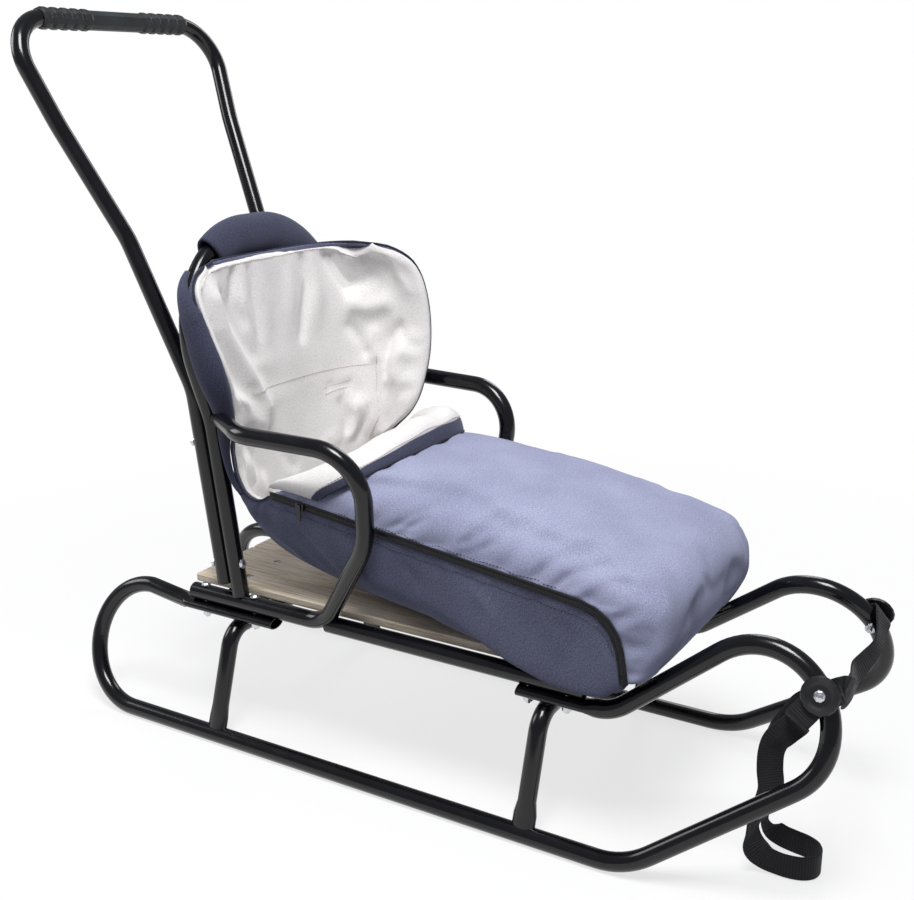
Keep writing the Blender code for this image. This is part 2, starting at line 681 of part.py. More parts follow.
def build_bolts():
    top = RAIL_Z + TUBE_R + GAP
    rail_grip = top - (RUNNER_END_Z - FLAT_H / 2.0 - GAP)
    post_grip = 4.0 * TUBE_R + 3.0 * GAP
    for label, side in SIDES:
        for number, y in enumerate(RAIL_BOLT_YS, 1):
            turned(f"rail_bolt_{number}_{label}", (side * SEAT_X, y, top), (0, 0, -1),
                   bolt_profile(rail_grip), "zinc_steel", 8)
        for place, z in zip(("low", "high"), HANDLE_BOLT_ZS):
            head = Vector((side * POST_X, hoop_y(z), z)) + POST_FRONT * (TUBE_R + GAP)
            turned(f"handle_bolt_{place}_{label}", head, -POST_FRONT, bolt_profile(post_grip),
                   "zinc_steel", 8)
        axis = nose_axis(side)
        under = nose_point(side) + axis * (TUBE_R + WEB_LAY)
        washer = turned(f"nose_washer_{label}", under, axis,
                        [(0.0, WASHER_R * 0.95), (WASHER_T * 0.4, WASHER_R),
                         (WASHER_T * 0.8, WASHER_R * 0.93), (WASHER_T, WASHER_R * 0.72),
                         (WASHER_T * 0.8, WASHER_R * 0.55), (WASHER_T * 0.8, WASHER_R * 0.35)],
                        "black_plastic", 18)
        cut(washer, [drill(under - axis * 0.01, axis, 0.03)])
        seat = under + axis * (WASHER_T * 0.8 + GAP)
        webbing = WEB_LAY * (2.0 if side < 0 else 1.0)
        nose_grip = WASHER_T * 0.8 + webbing + 2.0 * TUBE_R + 2.0 * GAP
        turned(f"nose_bolt_{label}", seat, -axis, bolt_profile(nose_grip), "zinc_steel", 8)


def build_seat():
    pitch = (2.0 * SLAT_FIELD_X + SLAT_GAP) / SLAT_COUNT
    width = pitch - SLAT_GAP
    length = SLAT_REAR_Y - SLAT_FRONT_Y
    bar_top = SLAT_TOP_Z - SLAT_T - GAP
    reach = SEAT_X - math.sqrt(TUBE_R ** 2 - (bar_top - RAIL_Z) ** 2) - GAP
    bars = []
    for label, y in zip(("rear", "front"), STRAP_BAR_YS):
        bar = box(f"slat_bar_{label}", (0, y, bar_top - STRAP_BAR_T / 2.0),
                  (2.0 * reach - 0.0042, STRAP_BAR_W, STRAP_BAR_T), "black_painted_steel")
        bars.append(bar)
    screw_xs = [-SLAT_FIELD_X + width / 2.0 + k * pitch for k in range(SLAT_COUNT)]
    for k, x in enumerate(screw_xs, 1):
        slat = box(f"seat_slat_{k}", (x, (SLAT_REAR_Y + SLAT_FRONT_Y) / 2.0, SLAT_TOP_Z - SLAT_T / 2.0),
                   (width, length, SLAT_T), "pale_wood", bevel=0.0015)
        sink = [turned("sink", (x, y, SLAT_TOP_Z + 0.002), (0, 0, -1),
                       [(0.0, SCREW_HEAD_R + GAP), (0.002 + SCREW_SINK, SCREW_HEAD_R + GAP),
                        (0.002 + SCREW_SINK, SCREW_R + GAP), (0.022, SCREW_R + GAP)],
                       "zinc_steel", 8) for y in STRAP_BAR_YS]
        cut(slat, sink)
        for poly in slat.data.polygons:
            poly.use_smooth = False
        for label, y in zip(("rear", "front"), STRAP_BAR_YS):
            turned(f"slat_screw_{k}_{label}", (x, y, SLAT_TOP_Z - SCREW_SINK + GAP), (0, 0, -1),
                   [(-SCREW_HEAD_H, SCREW_HEAD_R * 0.35), (-SCREW_HEAD_H * 0.6, SCREW_HEAD_R * 0.85),
                    (0.0, SCREW_HEAD_R), (0.0, SCREW_R), (0.0150, SCREW_R)], "zinc_steel", 8)
    for bar, y in zip(bars, STRAP_BAR_YS):
        cut(bar, [drill((x, y, bar_top - 0.02), (0, 0, 1), 0.04, SCREW_R + GAP) for x in screw_xs])
        for poly in bar.data.polygons:
            poly.use_smooth = False


# Soft pieces: shared lines
def track(stations, s):
    """A smooth line through stations of (key, value, value, ...), read at key s."""
    last = len(stations) - 1
    k = 0
    while k < last - 1 and s > stations[k + 1][0]:
        k += 1
    low, high = stations[k], stations[k + 1]
    before, after = stations[max(k - 1, 0)], stations[min(k + 2, last)]
    span = high[0] - low[0]
    t = (s - low[0]) / span
    values = []
    for a, p, q, b in zip(before[1:], low[1:], high[1:], after[1:]):
        slope_p = (q - a) / (high[0] - before[0]) * span
        slope_q = (b - p) / (after[0] - low[0]) * span
        values.append((2 * t ** 3 - 3 * t ** 2 + 1) * p + (t ** 3 - 2 * t ** 2 + t) * slope_p
                      + (3 * t ** 2 - 2 * t ** 3) * q + (t ** 3 - t ** 2) * slope_q)
    return values


def zip_path():
    """The left zip line: straight along the side, then round the toe and down."""
    corners = [(SEAT_X + out, y, SLAT_TOP_Z + up) for out, y, up in (ZIP_HEAD, ZIP_TOE, ZIP_FOOT)]
    return fillet_path(corners, [ZIP_TOE_R])


def along(path, fraction):
    """The point at a fraction of a path's length, and the direction there."""
    spans = [(b - a).length for a, b in zip(path, path[1:])]
    left = fraction * sum(spans)
    for a, b, span in zip(path, path[1:], spans):
        if left <= span or b is path[-1]:
            return a + (b - a) * (left / span), (b - a).normalized()
        left -= span


def zip_point(fraction, lift=0.0):
    """A point of the left zip line, moved square to it and upward by lift."""
    point, direction = along(zip_path(), fraction)
    upward = Vector((0.0, direction.z, -direction.y)).normalized()
    return point + upward * lift


def soft_row(right, left, spine):
    """One cross line of a soft panel: from the right edge, by the spine, to the left edge.

    An edge is a point and the fullness of its half: 2 is an ellipse, more is squarer.
    """
    row = []
    for k in range(SOFT_COLUMNS + 1):
        turn = math.pi * k / SOFT_COLUMNS
        edge, fullness = right if 2 * k <= SOFT_COLUMNS else left
        share = max(0.0, math.sin(turn)) ** (2.0 / fullness)
        x = edge.x * abs(math.cos(turn)) ** (2.0 / fullness)
        row.append(Vector((x, edge.y + (spine[0] - edge.y) * share,
                           edge.z + (spine[1] - edge.z) * share)))
    return row


def layer(name, line, keys, start, thickness, mat, seams=(False, False)):
    """A cloth layer between two offsets from the surface that line(key) draws, outward positive.

    seams says whether the first and the last cross line meet another panel.
    """
    near, far = [], []
    for key in keys:
        here, ahead, behind = line(key), line(key + 0.01), line(key - 0.01)
        low, high = [], []
        for k, point in enumerate(here):
            across = here[min(k + 1, len(here) - 1)] - here[max(k - 1, 0)]
            normal = (ahead[k] - behind[k]).cross(across).normalized()
            low.append(point + normal * start)
            high.append(point + normal * (start + thickness))
        near.append(low)
        far.append(high)
    for meets, end, inner in ((seams[0], 0, 1), (seams[1], -1, -2)):
        for grid in (near, far):
            if meets:
                grid[end] = [p + (q - p).normalized() * SEAM_PULL for p, q in zip(grid[end], grid[inner])]
    return shell(name, near, far, mat)


def body_row(s):
    """A cross line of the footmuff's body, from the foot (s = 0) to the top of the back."""
    spine_y, spine_z = track(spine_line(), s)
    spine_z = max(spine_z, SLAT_TOP_Z + SEAT_LIFT)
    if s <= 1.0:
        left = zip_point(ZIP_BASE_END * (1.0 - s), -ZIP_HALF_GAP)
        fullness = track(SEAT_FULLNESS, s)[0]
        return soft_row((mirrored(left, -1), fullness), (left, fullness), (spine_y, spine_z))
    return soft_row(edge_point(RIGHT_EDGE, s, -1), edge_point(LEFT_EDGE, s, 1), (spine_y, spine_z))


def spine_line():
    """The body's middle line in place: the seat on the slats, the back in front of the hoop."""
    line = [(key, y, SLAT_TOP_Z + up) for key, y, up in SEAT_LINE]
    for key, before, up in BACK_LINE:
        z = SLAT_TOP_Z + up
        line.append((key, hoop_y(z) - before, z))
    return line


def edge_point(stations, s, side):
    """A point on the back's edge, and the fullness of that half."""
    y, up, out, fullness = track(stations, s)
    return Vector((side * (SEAT_X + out), y, SLAT_TOP_Z + up)), fullness


def apron_row(fraction):
    """A cross line of the apron, from the collar (0) over the crown and down to the foot (1)."""
    crown_y, crown_up, fullness = track(CROWN_LINE, fraction)
    left = zip_point(fraction, ZIP_HALF_GAP)
    crown = (crown_y, SLAT_TOP_Z + crown_up)
    return soft_row((mirrored(left, -1), fullness), (left, fullness), crown)


def steps(low, high, count):
    return [low + (high - low) * k / count for k in range(count + 1)]


# Soft pieces
def build_muff():
    seat_at = steps(0.0, 1.0, 12) + steps(1.06, BACK_SEAM, 3)
    back_at = steps(BACK_SEAM, BACK_LINE[-1][0], 12)
    layer("muff_base", body_row, seat_at, 0.0, -CLOTH_T, "grey_melange_fabric", (False, True))
    layer("muff_back", body_row, back_at, 0.0, -CLOTH_T, "grey_melange_fabric", (True, False))
    layer("muff_lining", lining_row, seat_at[2:] + back_at[1:-1], -(CLOTH_T + LINING_GAP),
          -LINING_T, "cream_fleece")
    apron = layer("muff_apron", apron_row, steps(0.0, FOLD_AT, 12), 0.0, -APRON_CLOTH_T,
                  "grey_melange_fabric", (False, True))
    layer("muff_foot", apron_row, steps(FOLD_AT, 1.0, 7), 0.0, -APRON_CLOTH_T,
          "grey_melange_fabric", (True, False))
    collar = layer("apron_collar", collar_row, steps(0.0, COLLAR_SPAN, 4), LINING_GAP, COLLAR_T,
                   "cream_fleece")
    for obj in (apron, collar):
        set_origin(obj, fold_pivot())


def fold_pivot():
    """The line that the opened apron folds over: on the crown, where the toe begins."""
    crown_y, crown_up, _ = track(CROWN_LINE, FOLD_AT)
    return Vector((0.0, crown_y, SLAT_TOP_Z + crown_up))


def lining_row(s):
    return lower_edges(body_row(s))


def collar_row(fraction):
    return apron_row(fraction)[1:-1]


def lower_edges(row):
    """Keep the lining's rims a little below the rims of the cloth round it."""
    row = list(row)
    row[0] = row[0] + (row[1] - row[0]).normalized() * LINING_RIM
    row[-1] = row[-1] + (row[-2] - row[-1]).normalized() * LINING_RIM
    return row


def build_pocket():
    """The flat sleeve that hangs the back over the top of the hoop."""
    covered = crest_between(*POCKET_XS)
    rows_out, rows_in = [], []
    for here in covered:
        inward = Vector((-here.x * 0.5, 0.0, HOOP_TOP_Z - HOOP_TOP_R * 2.2 - here.z))
        run = frames_run(covered, here)
        inward = (inward - run * inward.dot(run)).normalized()
        across = run.cross(inward)
        centre = here + inward * POCKET_DROP
        half = TUBE_R + POCKET_PAD
        rows_out.append(ring(centre, (across, inward), half, POCKET_HALF_Z, POCKET_SIDES))
        rows_in.append(ring(centre, (across, inward), half - POCKET_T, POCKET_HALF_Z - POCKET_T,
                            POCKET_SIDES))
    bm = bmesh.new()
    outer = skin(bm, rows_out)
    inner = skin(bm, rows_in)
    for end in (0, -1):
        for k in range(POCKET_SIDES):
            j = (k + 1) % POCKET_SIDES
            bm.faces.new((outer[end][k], outer[end][j], inner[end][j], inner[end][k]))
    add_object("muff_pocket", bm, "grey_melange_fabric")


def crest_between(low, high):
    """The upper part of the hoop's path between two x values, ends included."""
    crest = HOOP_TOP_Z - HOOP_TOP_R
    path = sorted((p for p in hoop_path() if p.z > crest), key=lambda p: p.x)
    inside = [p for p in path if low < p.x < high]
    ends = []
    for x in (low, high):
        for a, b in zip(path, path[1:]):
            if a.x <= x <= b.x:
                ends.append(a.lerp(b, (x - a.x) / (b.x - a.x)))
                break
    return [ends[0], *inside, ends[1]]


def frames_run(path, here):
    """The direction of a path at one of its points."""
    k = path.index(here)
    return (path[min(k + 1, len(path) - 1)] - path[max(k - 1, 0)]).normalized()


def strip(name, points, faces, width, thickness, mat):
    """A flat band along points; faces gives the direction its face looks at each point."""
    rings = []
    for k, here in enumerate(points):
        run = (points[min(k + 1, len(points) - 1)] - points[max(k - 1, 0)]).normalized()
        face = (faces[k] - run * faces[k].dot(run)).normalized()
        across = run.cross(face)
        a, b = across * (width / 2.0), face * (thickness / 2.0)
        rings.append([here - a - b, here + a - b, here + a + b, here - a + b])
    bm = bmesh.new()
    rows = skin(bm, rings)
    bm.faces.new(rows[0])
    bm.faces.new(rows[-1])
    return add_object(name, bm, mat, smooth=False)


def build_zips():
    for label, side in SIDES:
        points = []
        for f in steps(0.0, 1.0, 26):
            p = zip_point(f)
            points.append(Vector((side * (p.x + GAP + TAPE_T / 2.0), p.y, p.z)))
        strip(f"zip_tape_{label}", points, [Vector((side, 0, 0))] * len(points), TAPE_W, TAPE_T,
              "black_webbing")
        start, run = along(zip_path(), slider_fraction())
        seat = Vector((side * (start.x + TAPE_T + 2.0 * GAP), start.y, start.z))
        run = Vector((side * run.x, run.y, run.z))
        out = Vector((side, 0, 0))
        out = (out - run * out.dot(run)).normalized()
        half = run * (SLIDER_LEN / 2.0)
        middle = seat + out * SLIDER_T / 2.0
        slider = strip(f"zip_slider_{label}", [middle - half, middle + half], [out, out], SLIDER_W,
                       SLIDER_T, "zinc_steel")
        set_origin(slider, middle)
        hang = seat + out * (SLIDER_T + GAP + PULL_T / 2.0)
        ends = [hang + Vector((0, 0, PULL_TOP)), hang - Vector((0, 0, PULL_LEN))]
        pull = strip(f"zip_pull_{label}", ends, [out, out], PULL_W, PULL_T, "zinc_steel")
        set_origin(pull, hang)


def slider_fraction():
    """How far along the zip the slider waits when the zip is closed."""
    path = zip_path()
    head, toe = path[0], path[1]
    share = (head.y - SLIDER_Y) / (head.y - toe.y)
    whole = sum((b - a).length for a, b in zip(path, path[1:]))
    return share * (toe - head).length / whole


# route of the pull strap: x, y, z, then the direction its face looks.
# From the right washer it hangs to the ground, lies there in a loop on its edge, and comes back up
STRAP_LOOP = [
    (-0.0925, -0.4420, 0.1730, 0.88, -0.12, 0.10),
    (-0.0920, -0.4320, 0.1610, 0.85, -0.10, 0.00),
    (-0.0915, -0.4230, 0.1490, 0.85, 0.20, 0.00),
    (-0.0905, -0.4190, 0.1340, 0.83, 0.45, 0.00),
    (-0.0900, -0.4190, 0.1160, 0.83, 0.50, 0.00),
    (-0.0900, -0.4210, 0.0950, 0.80, 0.60, 0.00),
    (-0.0905, -0.4110, 0.0620, 0.50, 0.85, 0.1),
    (-0.0910, -0.4065, 0.0440, 0.20, 1.00, 0.2),
    (-0.0915, -0.4095, 0.0280, 0.60, 0.70, -0.3),
    (-0.0910, -0.4200, 0.0185, 1.00, 0.20, -0.1),
    (-0.0900, -0.4340, 0.0150, 1.00, 0.00, 0.0),
    (-0.0890, -0.4480, 0.0145, 1.00, 0.05, 0.0),
    (-0.0850, -0.4600, 0.0145, 0.92, 0.38, 0.0),
    (-0.0770, -0.4680, 0.0145, 0.50, 0.86, 0.0),
    (-0.0650, -0.4700, 0.0145, 0.00, 1.00, 0.0),
    (-0.0530, -0.4640, 0.0145, -0.60, 0.80, 0.0),
    (-0.0460, -0.4520, 0.0145, -0.95, 0.30, 0.0),
    (-0.0440, -0.4380, 0.0150, -1.00, 0.00, 0.0),
    (-0.0440, -0.4240, 0.0175, -1.00, 0.00, 0.0),
    (-0.0450, -0.4120, 0.0245, -0.80, 0.50, 0.2),
    (-0.0470, -0.4065, 0.0400, -0.50, 0.85, 0.0),
    (-0.0550, -0.4095, 0.0660, -0.55, 0.85, 0.0),
    (-0.0590, -0.4115, 0.0930, -0.60, 0.80, 0.0),
    (-0.0650, -0.4120, 0.1200, -0.75, 0.65, 0.0),
    (-0.0720, -0.4200, 0.1460, -0.90, 0.45, 0.0),
    (-0.0790, -0.4330, 0.1700, -1.00, 0.20, 0.0),
]
# then, held by the same bolt, it sags across to the left nose
STRAP_BRIDGE = [
    (-0.0790, -0.4800, 0.2140, -0.70, -0.70, 0.0),
    (-0.0500, -0.4800, 0.1980, -0.30, -0.95, 0.00),
    (-0.0100, -0.4670, 0.1710, -0.40, -0.90, 0.10),
    (0.0200, -0.4660, 0.1710, -0.50, -0.80, 0.10),
    (0.0460, -0.4640, 0.1740, -0.60, -0.75, 0.10),
    (0.0630, -0.4710, 0.1835, -0.40, -0.90, 0.10),
    (0.0740, -0.4775, 0.1950, -0.15, -1.00, 0.20),
    (0.0820, -0.4785, 0.2060, 0.00, -1.00, 0.40),
]
# places on the flat of the webbing below a washer: forward of the bolt, above the bolt
OUTER_LAY = [(0.008, 0.012), (0.0, 0.0), (-0.012, -0.018), (-0.018, -0.027)]
INNER_LAY = [(-0.020, -0.016), (-0.010, -0.008), (0.0, 0.0), (0.008, 0.003)]
STRAP_STEP = 0.0090          # spacing of the band's cross lines


def build_strap():
    """The pull strap, one length of webbing held twice at the right nose and once at the left."""
    route = lay_points(OUTER_LAY, 1) + STRAP_LOOP + lay_points(INNER_LAY, -1)
    route += STRAP_BRIDGE + far_eye()
    stations = []
    walked = 0.0
    for k, values in enumerate(route):
        if k:
            walked += (Vector(values[:3]) - Vector(route[k - 1][:3])).length
        stations.append((walked, *values))
    points, faces = [], []
    for s in steps(0.0, walked, int(walked / STRAP_STEP)):
        values = track(stations, s)
        points.append(Vector(values[:3]))
        faces.append(Vector(values[3:]).normalized())
    strap = strip("pull_strap", points, faces, WEB_W, WEB_T, "black_webbing")
    reach = TUBE_R + 2.0 * WEB_LAY
    holes = [drill(nose_point(-1) - nose_axis(-1) * reach, nose_axis(-1), 2.0 * reach),
             drill(nose_point(1), nose_axis(1), reach)]
    cut(strap, holes)
    for poly in strap.data.polygons:
        poly.use_smooth = False


def lay_points(places, outward):
    """Route points on the right nose: outside the tube (outward 1) or inside it (-1)."""
    axis = nose_axis(-1)
    rise = Vector((axis.z, 0.0, -axis.x)).normalized()
    flat = nose_point(-1) + axis * (outward * (TUBE_R + WEB_LAY / 2.0))
    face = -axis * outward if outward > 0 else axis
    return [(*(flat + Vector((0.0, -forward, 0.0)) + rise * up), *face) for forward, up in places]


def far_eye():
    """Route points over the front of the left nose and under its washer."""
    axis = nose_axis(1)
    radial = Vector((0.0, -math.cos(NOSE_BOLT_ANGLE), math.sin(NOSE_BOLT_ANGLE)))
    middle = nose_point(1)
    front = middle + radial * (TUBE_R + WEB_LAY * 0.9) - axis * 0.004
    corner = middle + (radial + axis).normalized() * (TUBE_R + WEB_LAY)
    flat = middle + axis * (TUBE_R + WEB_LAY / 2.0)
    lay = [(*(flat - radial * back), *axis) for back in (-0.004, 0.004, 0.013)]
    return [(*front, *radial), (*corner, *(radial + axis).normalized())] + lay


def build():
    for obj in list(bpy.data.objects):
        bpy.data.objects.remove(obj, do_unlink=True)
    build_runners()
    build_arches()
    build_rails_and_arms()
    build_hoop()
    build_handle()
    build_plugs()
    build_bolts()
    build_seat()
    build_muff()
    build_pocket()
    build_zips()
    build_strap()


build()
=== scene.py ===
# %% [markdown]
# # A push sled with a fleece footmuff
# A small sled of black tube carries a child in a padded footmuff, and a tall handle lets
# someone push it over snow. The engineering model already gives every solid piece its place,
# so this lesson loads it as a fixed frame. It then gives the steel, wood and zinc their
# finishes, and sews new cloth over the plain solids that stand for the soft goods.

import math

import bpy
import bmesh
from mathutils import Matrix, Vector


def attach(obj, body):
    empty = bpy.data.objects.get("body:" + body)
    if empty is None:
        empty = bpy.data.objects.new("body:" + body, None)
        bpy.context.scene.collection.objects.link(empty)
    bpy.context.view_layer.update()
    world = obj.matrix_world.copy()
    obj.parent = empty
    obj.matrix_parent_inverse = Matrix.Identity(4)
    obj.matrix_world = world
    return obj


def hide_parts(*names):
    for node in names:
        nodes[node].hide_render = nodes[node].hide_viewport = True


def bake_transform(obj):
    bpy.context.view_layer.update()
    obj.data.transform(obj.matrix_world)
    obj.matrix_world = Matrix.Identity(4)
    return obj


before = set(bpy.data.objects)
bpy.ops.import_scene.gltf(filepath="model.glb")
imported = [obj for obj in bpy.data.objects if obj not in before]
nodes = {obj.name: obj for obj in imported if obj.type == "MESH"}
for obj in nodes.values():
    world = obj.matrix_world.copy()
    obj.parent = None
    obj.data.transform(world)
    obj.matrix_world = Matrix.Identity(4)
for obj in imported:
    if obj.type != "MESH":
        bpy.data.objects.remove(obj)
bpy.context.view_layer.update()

# %% [markdown]
# ## The camera
# The photograph was taken from the child's right, a little above the seat. A camera is a place,
# a direction and a focal length. The place and direction were found by matching straight tubes
# whose sizes are known, and the lens follows from how strongly the runners converge.

# %% Place the camera
PHOTO_SIZE = (914, 900)
FOCAL_PIXELS = 1261.72
CAMERA_PLACE = Vector((-1.18979, -0.71200, 0.76167))
CAMERA_YAW = math.radians(59.49)
CAMERA_FALL = math.radians(16.31)
SENSOR_MM = 36.0


def camera_axes():
    """Right, up and backward directions of the camera."""
    ahead = Vector((math.sin(CAMERA_YAW) * math.cos(CAMERA_FALL),
                    math.cos(CAMERA_YAW) * math.cos(CAMERA_FALL),
                    -math.sin(CAMERA_FALL)))
    right = Vector((math.cos(CAMERA_YAW), -math.sin(CAMERA_YAW), 0.0))
    return right, right.cross(ahead), -ahead


camera_data = bpy.data.cameras.new("photo_camera")
camera_data.sensor_width = SENSOR_MM
camera_data.lens = SENSOR_MM * FOCAL_PIXELS / PHOTO_SIZE[0]
camera_data.clip_start = 0.05
camera_data.clip_end = 60.0
camera = bpy.data.objects.new("photo_camera", camera_data)
bpy.context.scene.collection.objects.link(camera)
camera.matrix_world = Matrix.Translation(CAMERA_PLACE) @ Matrix(camera_axes()).transposed().to_4x4()
bpy.context.scene.camera = camera
bpy.context.scene.view_settings.view_transform = "Standard"
print("camera lens", round(camera_data.lens, 1), "mm")

# %% [markdown]
# ## Two helpers for every finish
# Colours are picked on a screen, so they are sRGB, while the renderer works in linear light.
# One function does that change. A second one adds a node, sets it and links it, which keeps
# each material short enough to read like a recipe.


# %% Colour and node helpers
def linear(hex_colour):
    """An sRGB hex colour as linear red, green, blue and alpha."""
    values = []
    for k in (1, 3, 5):
        c = int(hex_colour[k:k + 2], 16) / 255.0
        values.append(c / 12.92 if c <= 0.04045 else ((c + 0.055) / 1.055) ** 2.4)
    return (*values, 1.0)


def add(tree, kind, settings=None, **inputs):
    """Add a node. settings are its own values, inputs are numbers, colours or (node, output)."""
    node = tree.nodes.new(kind)
    for key, value in (settings or {}).items():
        setattr(node, key, value)
    for key, value in inputs.items():
        name = key.replace("_", " ")
        socket = node.inputs[int(key[1:])] if key[1:].isdigit() else node.inputs[name]
        if isinstance(value, tuple) and isinstance(value[0], bpy.types.Node):
            tree.links.new(value[0].outputs[value[1]], socket)
        else:
            socket.default_value = value
    return node


def finish(name, roughness, metallic=0.0, **sockets):
    """A new material, its node tree, its shader and a node that gives coordinates."""
    made = bpy.data.materials.new(name)
    made.use_nodes = True
    shader = made.node_tree.nodes["Principled BSDF"]
    shader.inputs["Roughness"].default_value = roughness
    shader.inputs["Metallic"].default_value = metallic
    for key, value in sockets.items():
        shader.inputs[key.replace("_", " ")].default_value = value
    return made, made.node_tree, shader, add(made.node_tree, "ShaderNodeTexCoord")


def noise(tree, source, scale, detail, **more):
    """A cloudy pattern. Its forms are about 1 / scale metres wide."""
    return add(tree, "ShaderNodeTexNoise", None, Vector=source, Scale=scale, Detail=detail, **more)


def stretched(tree, source, *scale):
    """A coordinate with each axis multiplied by its own scale, as (node, output)."""
    return add(tree, "ShaderNodeMapping", None, Vector=source, Scale=scale), 0


def ramp(tree, source, *stops):
    """A colour ramp over a node's output. stops are (place, hex colour)."""
    node = add(tree, "ShaderNodeValToRGB", Fac=source)
    bar = node.color_ramp
    while len(bar.elements) < len(stops):
        bar.elements.new(0.5)
    for element, (place, colour) in zip(bar.elements, stops):
        element.position = place
        element.color = linear(colour)
    return node


def combined(tree, operation, a, b):
    """Two values put together by a sum, a product or the larger of both."""
    return add(tree, "ShaderNodeMath", {"operation": operation}, i0=a, i1=b)


def mixed_colour(tree, share, low, high, blend="MIX"):
    """Two colours mixed by a share, or multiplied. The result is output 2."""
    return add(tree, "ShaderNodeMix", {"data_type": "RGBA", "blend_type": blend},
               i0=share, i6=low, i7=high)


def feed(tree, node, output, shader, name):
    """Let a node's output drive one input of the shader."""
    tree.links.new(node.outputs[output], shader.inputs[name])


def uneven_gloss(tree, shader, source, low, high):
    """Roughness that goes from low to high where a pattern goes from 0 to 1."""
    node = add(tree, "ShaderNodeMapRange", None, Value=source, To_Min=low, To_Max=high)
    feed(tree, node, 0, shader, "Roughness")


def bump(tree, shader, source, height):
    """Raise the surface by a pattern; height is its real depth in metres."""
    feed(tree, add(tree, "ShaderNodeBump", None, Height=source, Distance=height), "Normal",
         shader, "Normal")


print("mid grey is", round(linear("#808080")[0], 3), "in linear light")


# %% [markdown]
# ## Stove enamel on the tubes
# The frame is 20 mm steel tube, bent cold and then powder coated in gloss black. Powder flows
# when it is baked, and leaves a faint waviness called orange peel, about 3 mm from hill to
# hill. The coat is a dielectric, so metallic stays 0 and the steel below never shows. On the
# arches, the tops of the bends are coloured paler in spots above a set height.


# %% Gloss black enamel
def black_enamel(name, pale_share=0.0, level=0.0):
    """Gloss enamel. Above the height level it is paler in spots, by the share pale_share."""
    made, tree, shader, place = finish(name, 0.20, IOR=1.5, Coat_Weight=0.25, Coat_Roughness=0.08,
                                       Specular_IOR_Level=0.34)
    here = (place, "Object")
    dust = noise(tree, here, 38.0, 5.0)
    colour, output = ramp(tree, (dust, "Fac"), (0.35, "#07070b"), (0.75, "#0f0f15")), 0
    uneven_gloss(tree, shader, (dust, "Fac"), 0.13, 0.27)
    bump(tree, shader, (noise(tree, here, 330.0, 2.0), "Fac"), 0.00002)
    # Above the height level, noise spots are mixed towards a pale grey.
    if pale_share:
        spot = add(tree, "ShaderNodeSeparateXYZ", None, Vector=here)
        high = add(tree, "ShaderNodeMapRange", None, Value=(spot, "Z"), From_Min=level,
                   From_Max=level + 0.012)
        pale_spots = combined(tree, "MULTIPLY", (high, 0), (noise(tree, here, 160.0, 6.0), "Fac"))
        share = add(tree, "ShaderNodeMapRange", None, Value=(pale_spots, 0), From_Min=0.42, From_Max=0.62,
                    To_Max=pale_share)
        colour, output = mixed_colour(tree, (share, 0), (colour, 0), linear("#a8a39c")), 2
    feed(tree, colour, output, shader, "Base Color")
    return made


enamel = black_enamel("gloss_black_enamel")
pale_spotted_enamel = black_enamel("pale_spotted_black_enamel", 0.55, 0.128)
print("enamel:", enamel.name, pale_spotted_enamel.name)

# %% [markdown]
# ## Zinc, rubber and nylon
# Bolts and screws are mild steel with bright zinc plating. It is a real metal finish, so
# metallic is 1, the IOR stays at its default, and fine tool marks make the gloss uneven.
# The hand grip is black PVC, dipped and matt. Plugs and washers are moulded nylon, which is
# a little glossier and has the fine sparkle texture that its steel mould was etched with.


# %% Small hardware finishes
def bright_zinc():
    made, tree, shader, place = finish("bright_zinc_plate", 0.3, 1.0)
    marks = (noise(tree, (place, "Object"), 900.0, 4.0), "Fac")
    feed(tree, ramp(tree, marks, (0.3, "#b9bcc4"), (0.7, "#e6e8ec")), 0, shader, "Base Color")
    uneven_gloss(tree, shader, marks, 0.16, 0.40)
    bump(tree, shader, marks, 0.00002)
    return made


def moulded(name, dark, pale, roughness, grain_mm, depth):
    """A moulded plastic: two near colours and a fine etched grain of a real size."""
    made, tree, shader, place = finish(name, roughness, IOR=1.52)
    grain = (noise(tree, (place, "Object"), 1000.0 / grain_mm, 2.0), "Fac")
    cloud = (noise(tree, (place, "Object"), 24.0, 4.0), "Fac")
    feed(tree, ramp(tree, cloud, (0.3, dark), (0.75, pale)), 0, shader, "Base Color")
    uneven_gloss(tree, shader, grain, roughness - 0.1, roughness + 0.12)
    bump(tree, shader, grain, depth)
    return made


zinc = bright_zinc()
grip_rubber = moulded("dipped_black_pvc", "#0d1013", "#22272c", 0.50, 1.2, 0.00012)
nylon = moulded("moulded_black_nylon", "#0d0d10", "#1b1b20", 0.42, 0.9, 0.00005)
print("hardware finishes:", zinc.name, grip_rubber.name, nylon.name)

# %% [markdown]
# ## Beech slats
# The seat is four planed beech boards that run along the sled, left almost raw. Beech is pale
# and pinkish, with growth lines 2 to 4 mm apart and short darker flecks along the grain. The
# pattern is noise that is stretched twenty times along the board.


# %% Planed beech
def planed_beech():
    made, tree, shader, place = finish("planed_beech", 0.58, IOR=1.5)
    board = stretched(tree, (place, "Object"), 330.0, 14.0, 330.0)
    grain = (noise(tree, board, 1.0, 6.0, Distortion=0.6), "Fac")
    tone = ramp(tree, grain, (0.30, "#c4ae90"), (0.50, "#e6d8c2"), (0.72, "#f3eadb"))
    flecks = noise(tree, stretched(tree, (place, "Object"), 900.0, 90.0, 900.0), 1.0, 2.0)
    share = add(tree, "ShaderNodeMapRange", None, Value=(flecks, "Fac"), From_Min=0.60,
                From_Max=0.70, To_Max=0.5)
    mixed = mixed_colour(tree, (share, 0), (tone, 0), linear("#b39a7c"))
    feed(tree, mixed, 2, shader, "Base Color")
    uneven_gloss(tree, shader, grain, 0.50, 0.72)
    bump(tree, shader, grain, 0.0002)
    return made


beech = planed_beech()
print("wood:", beech.name)

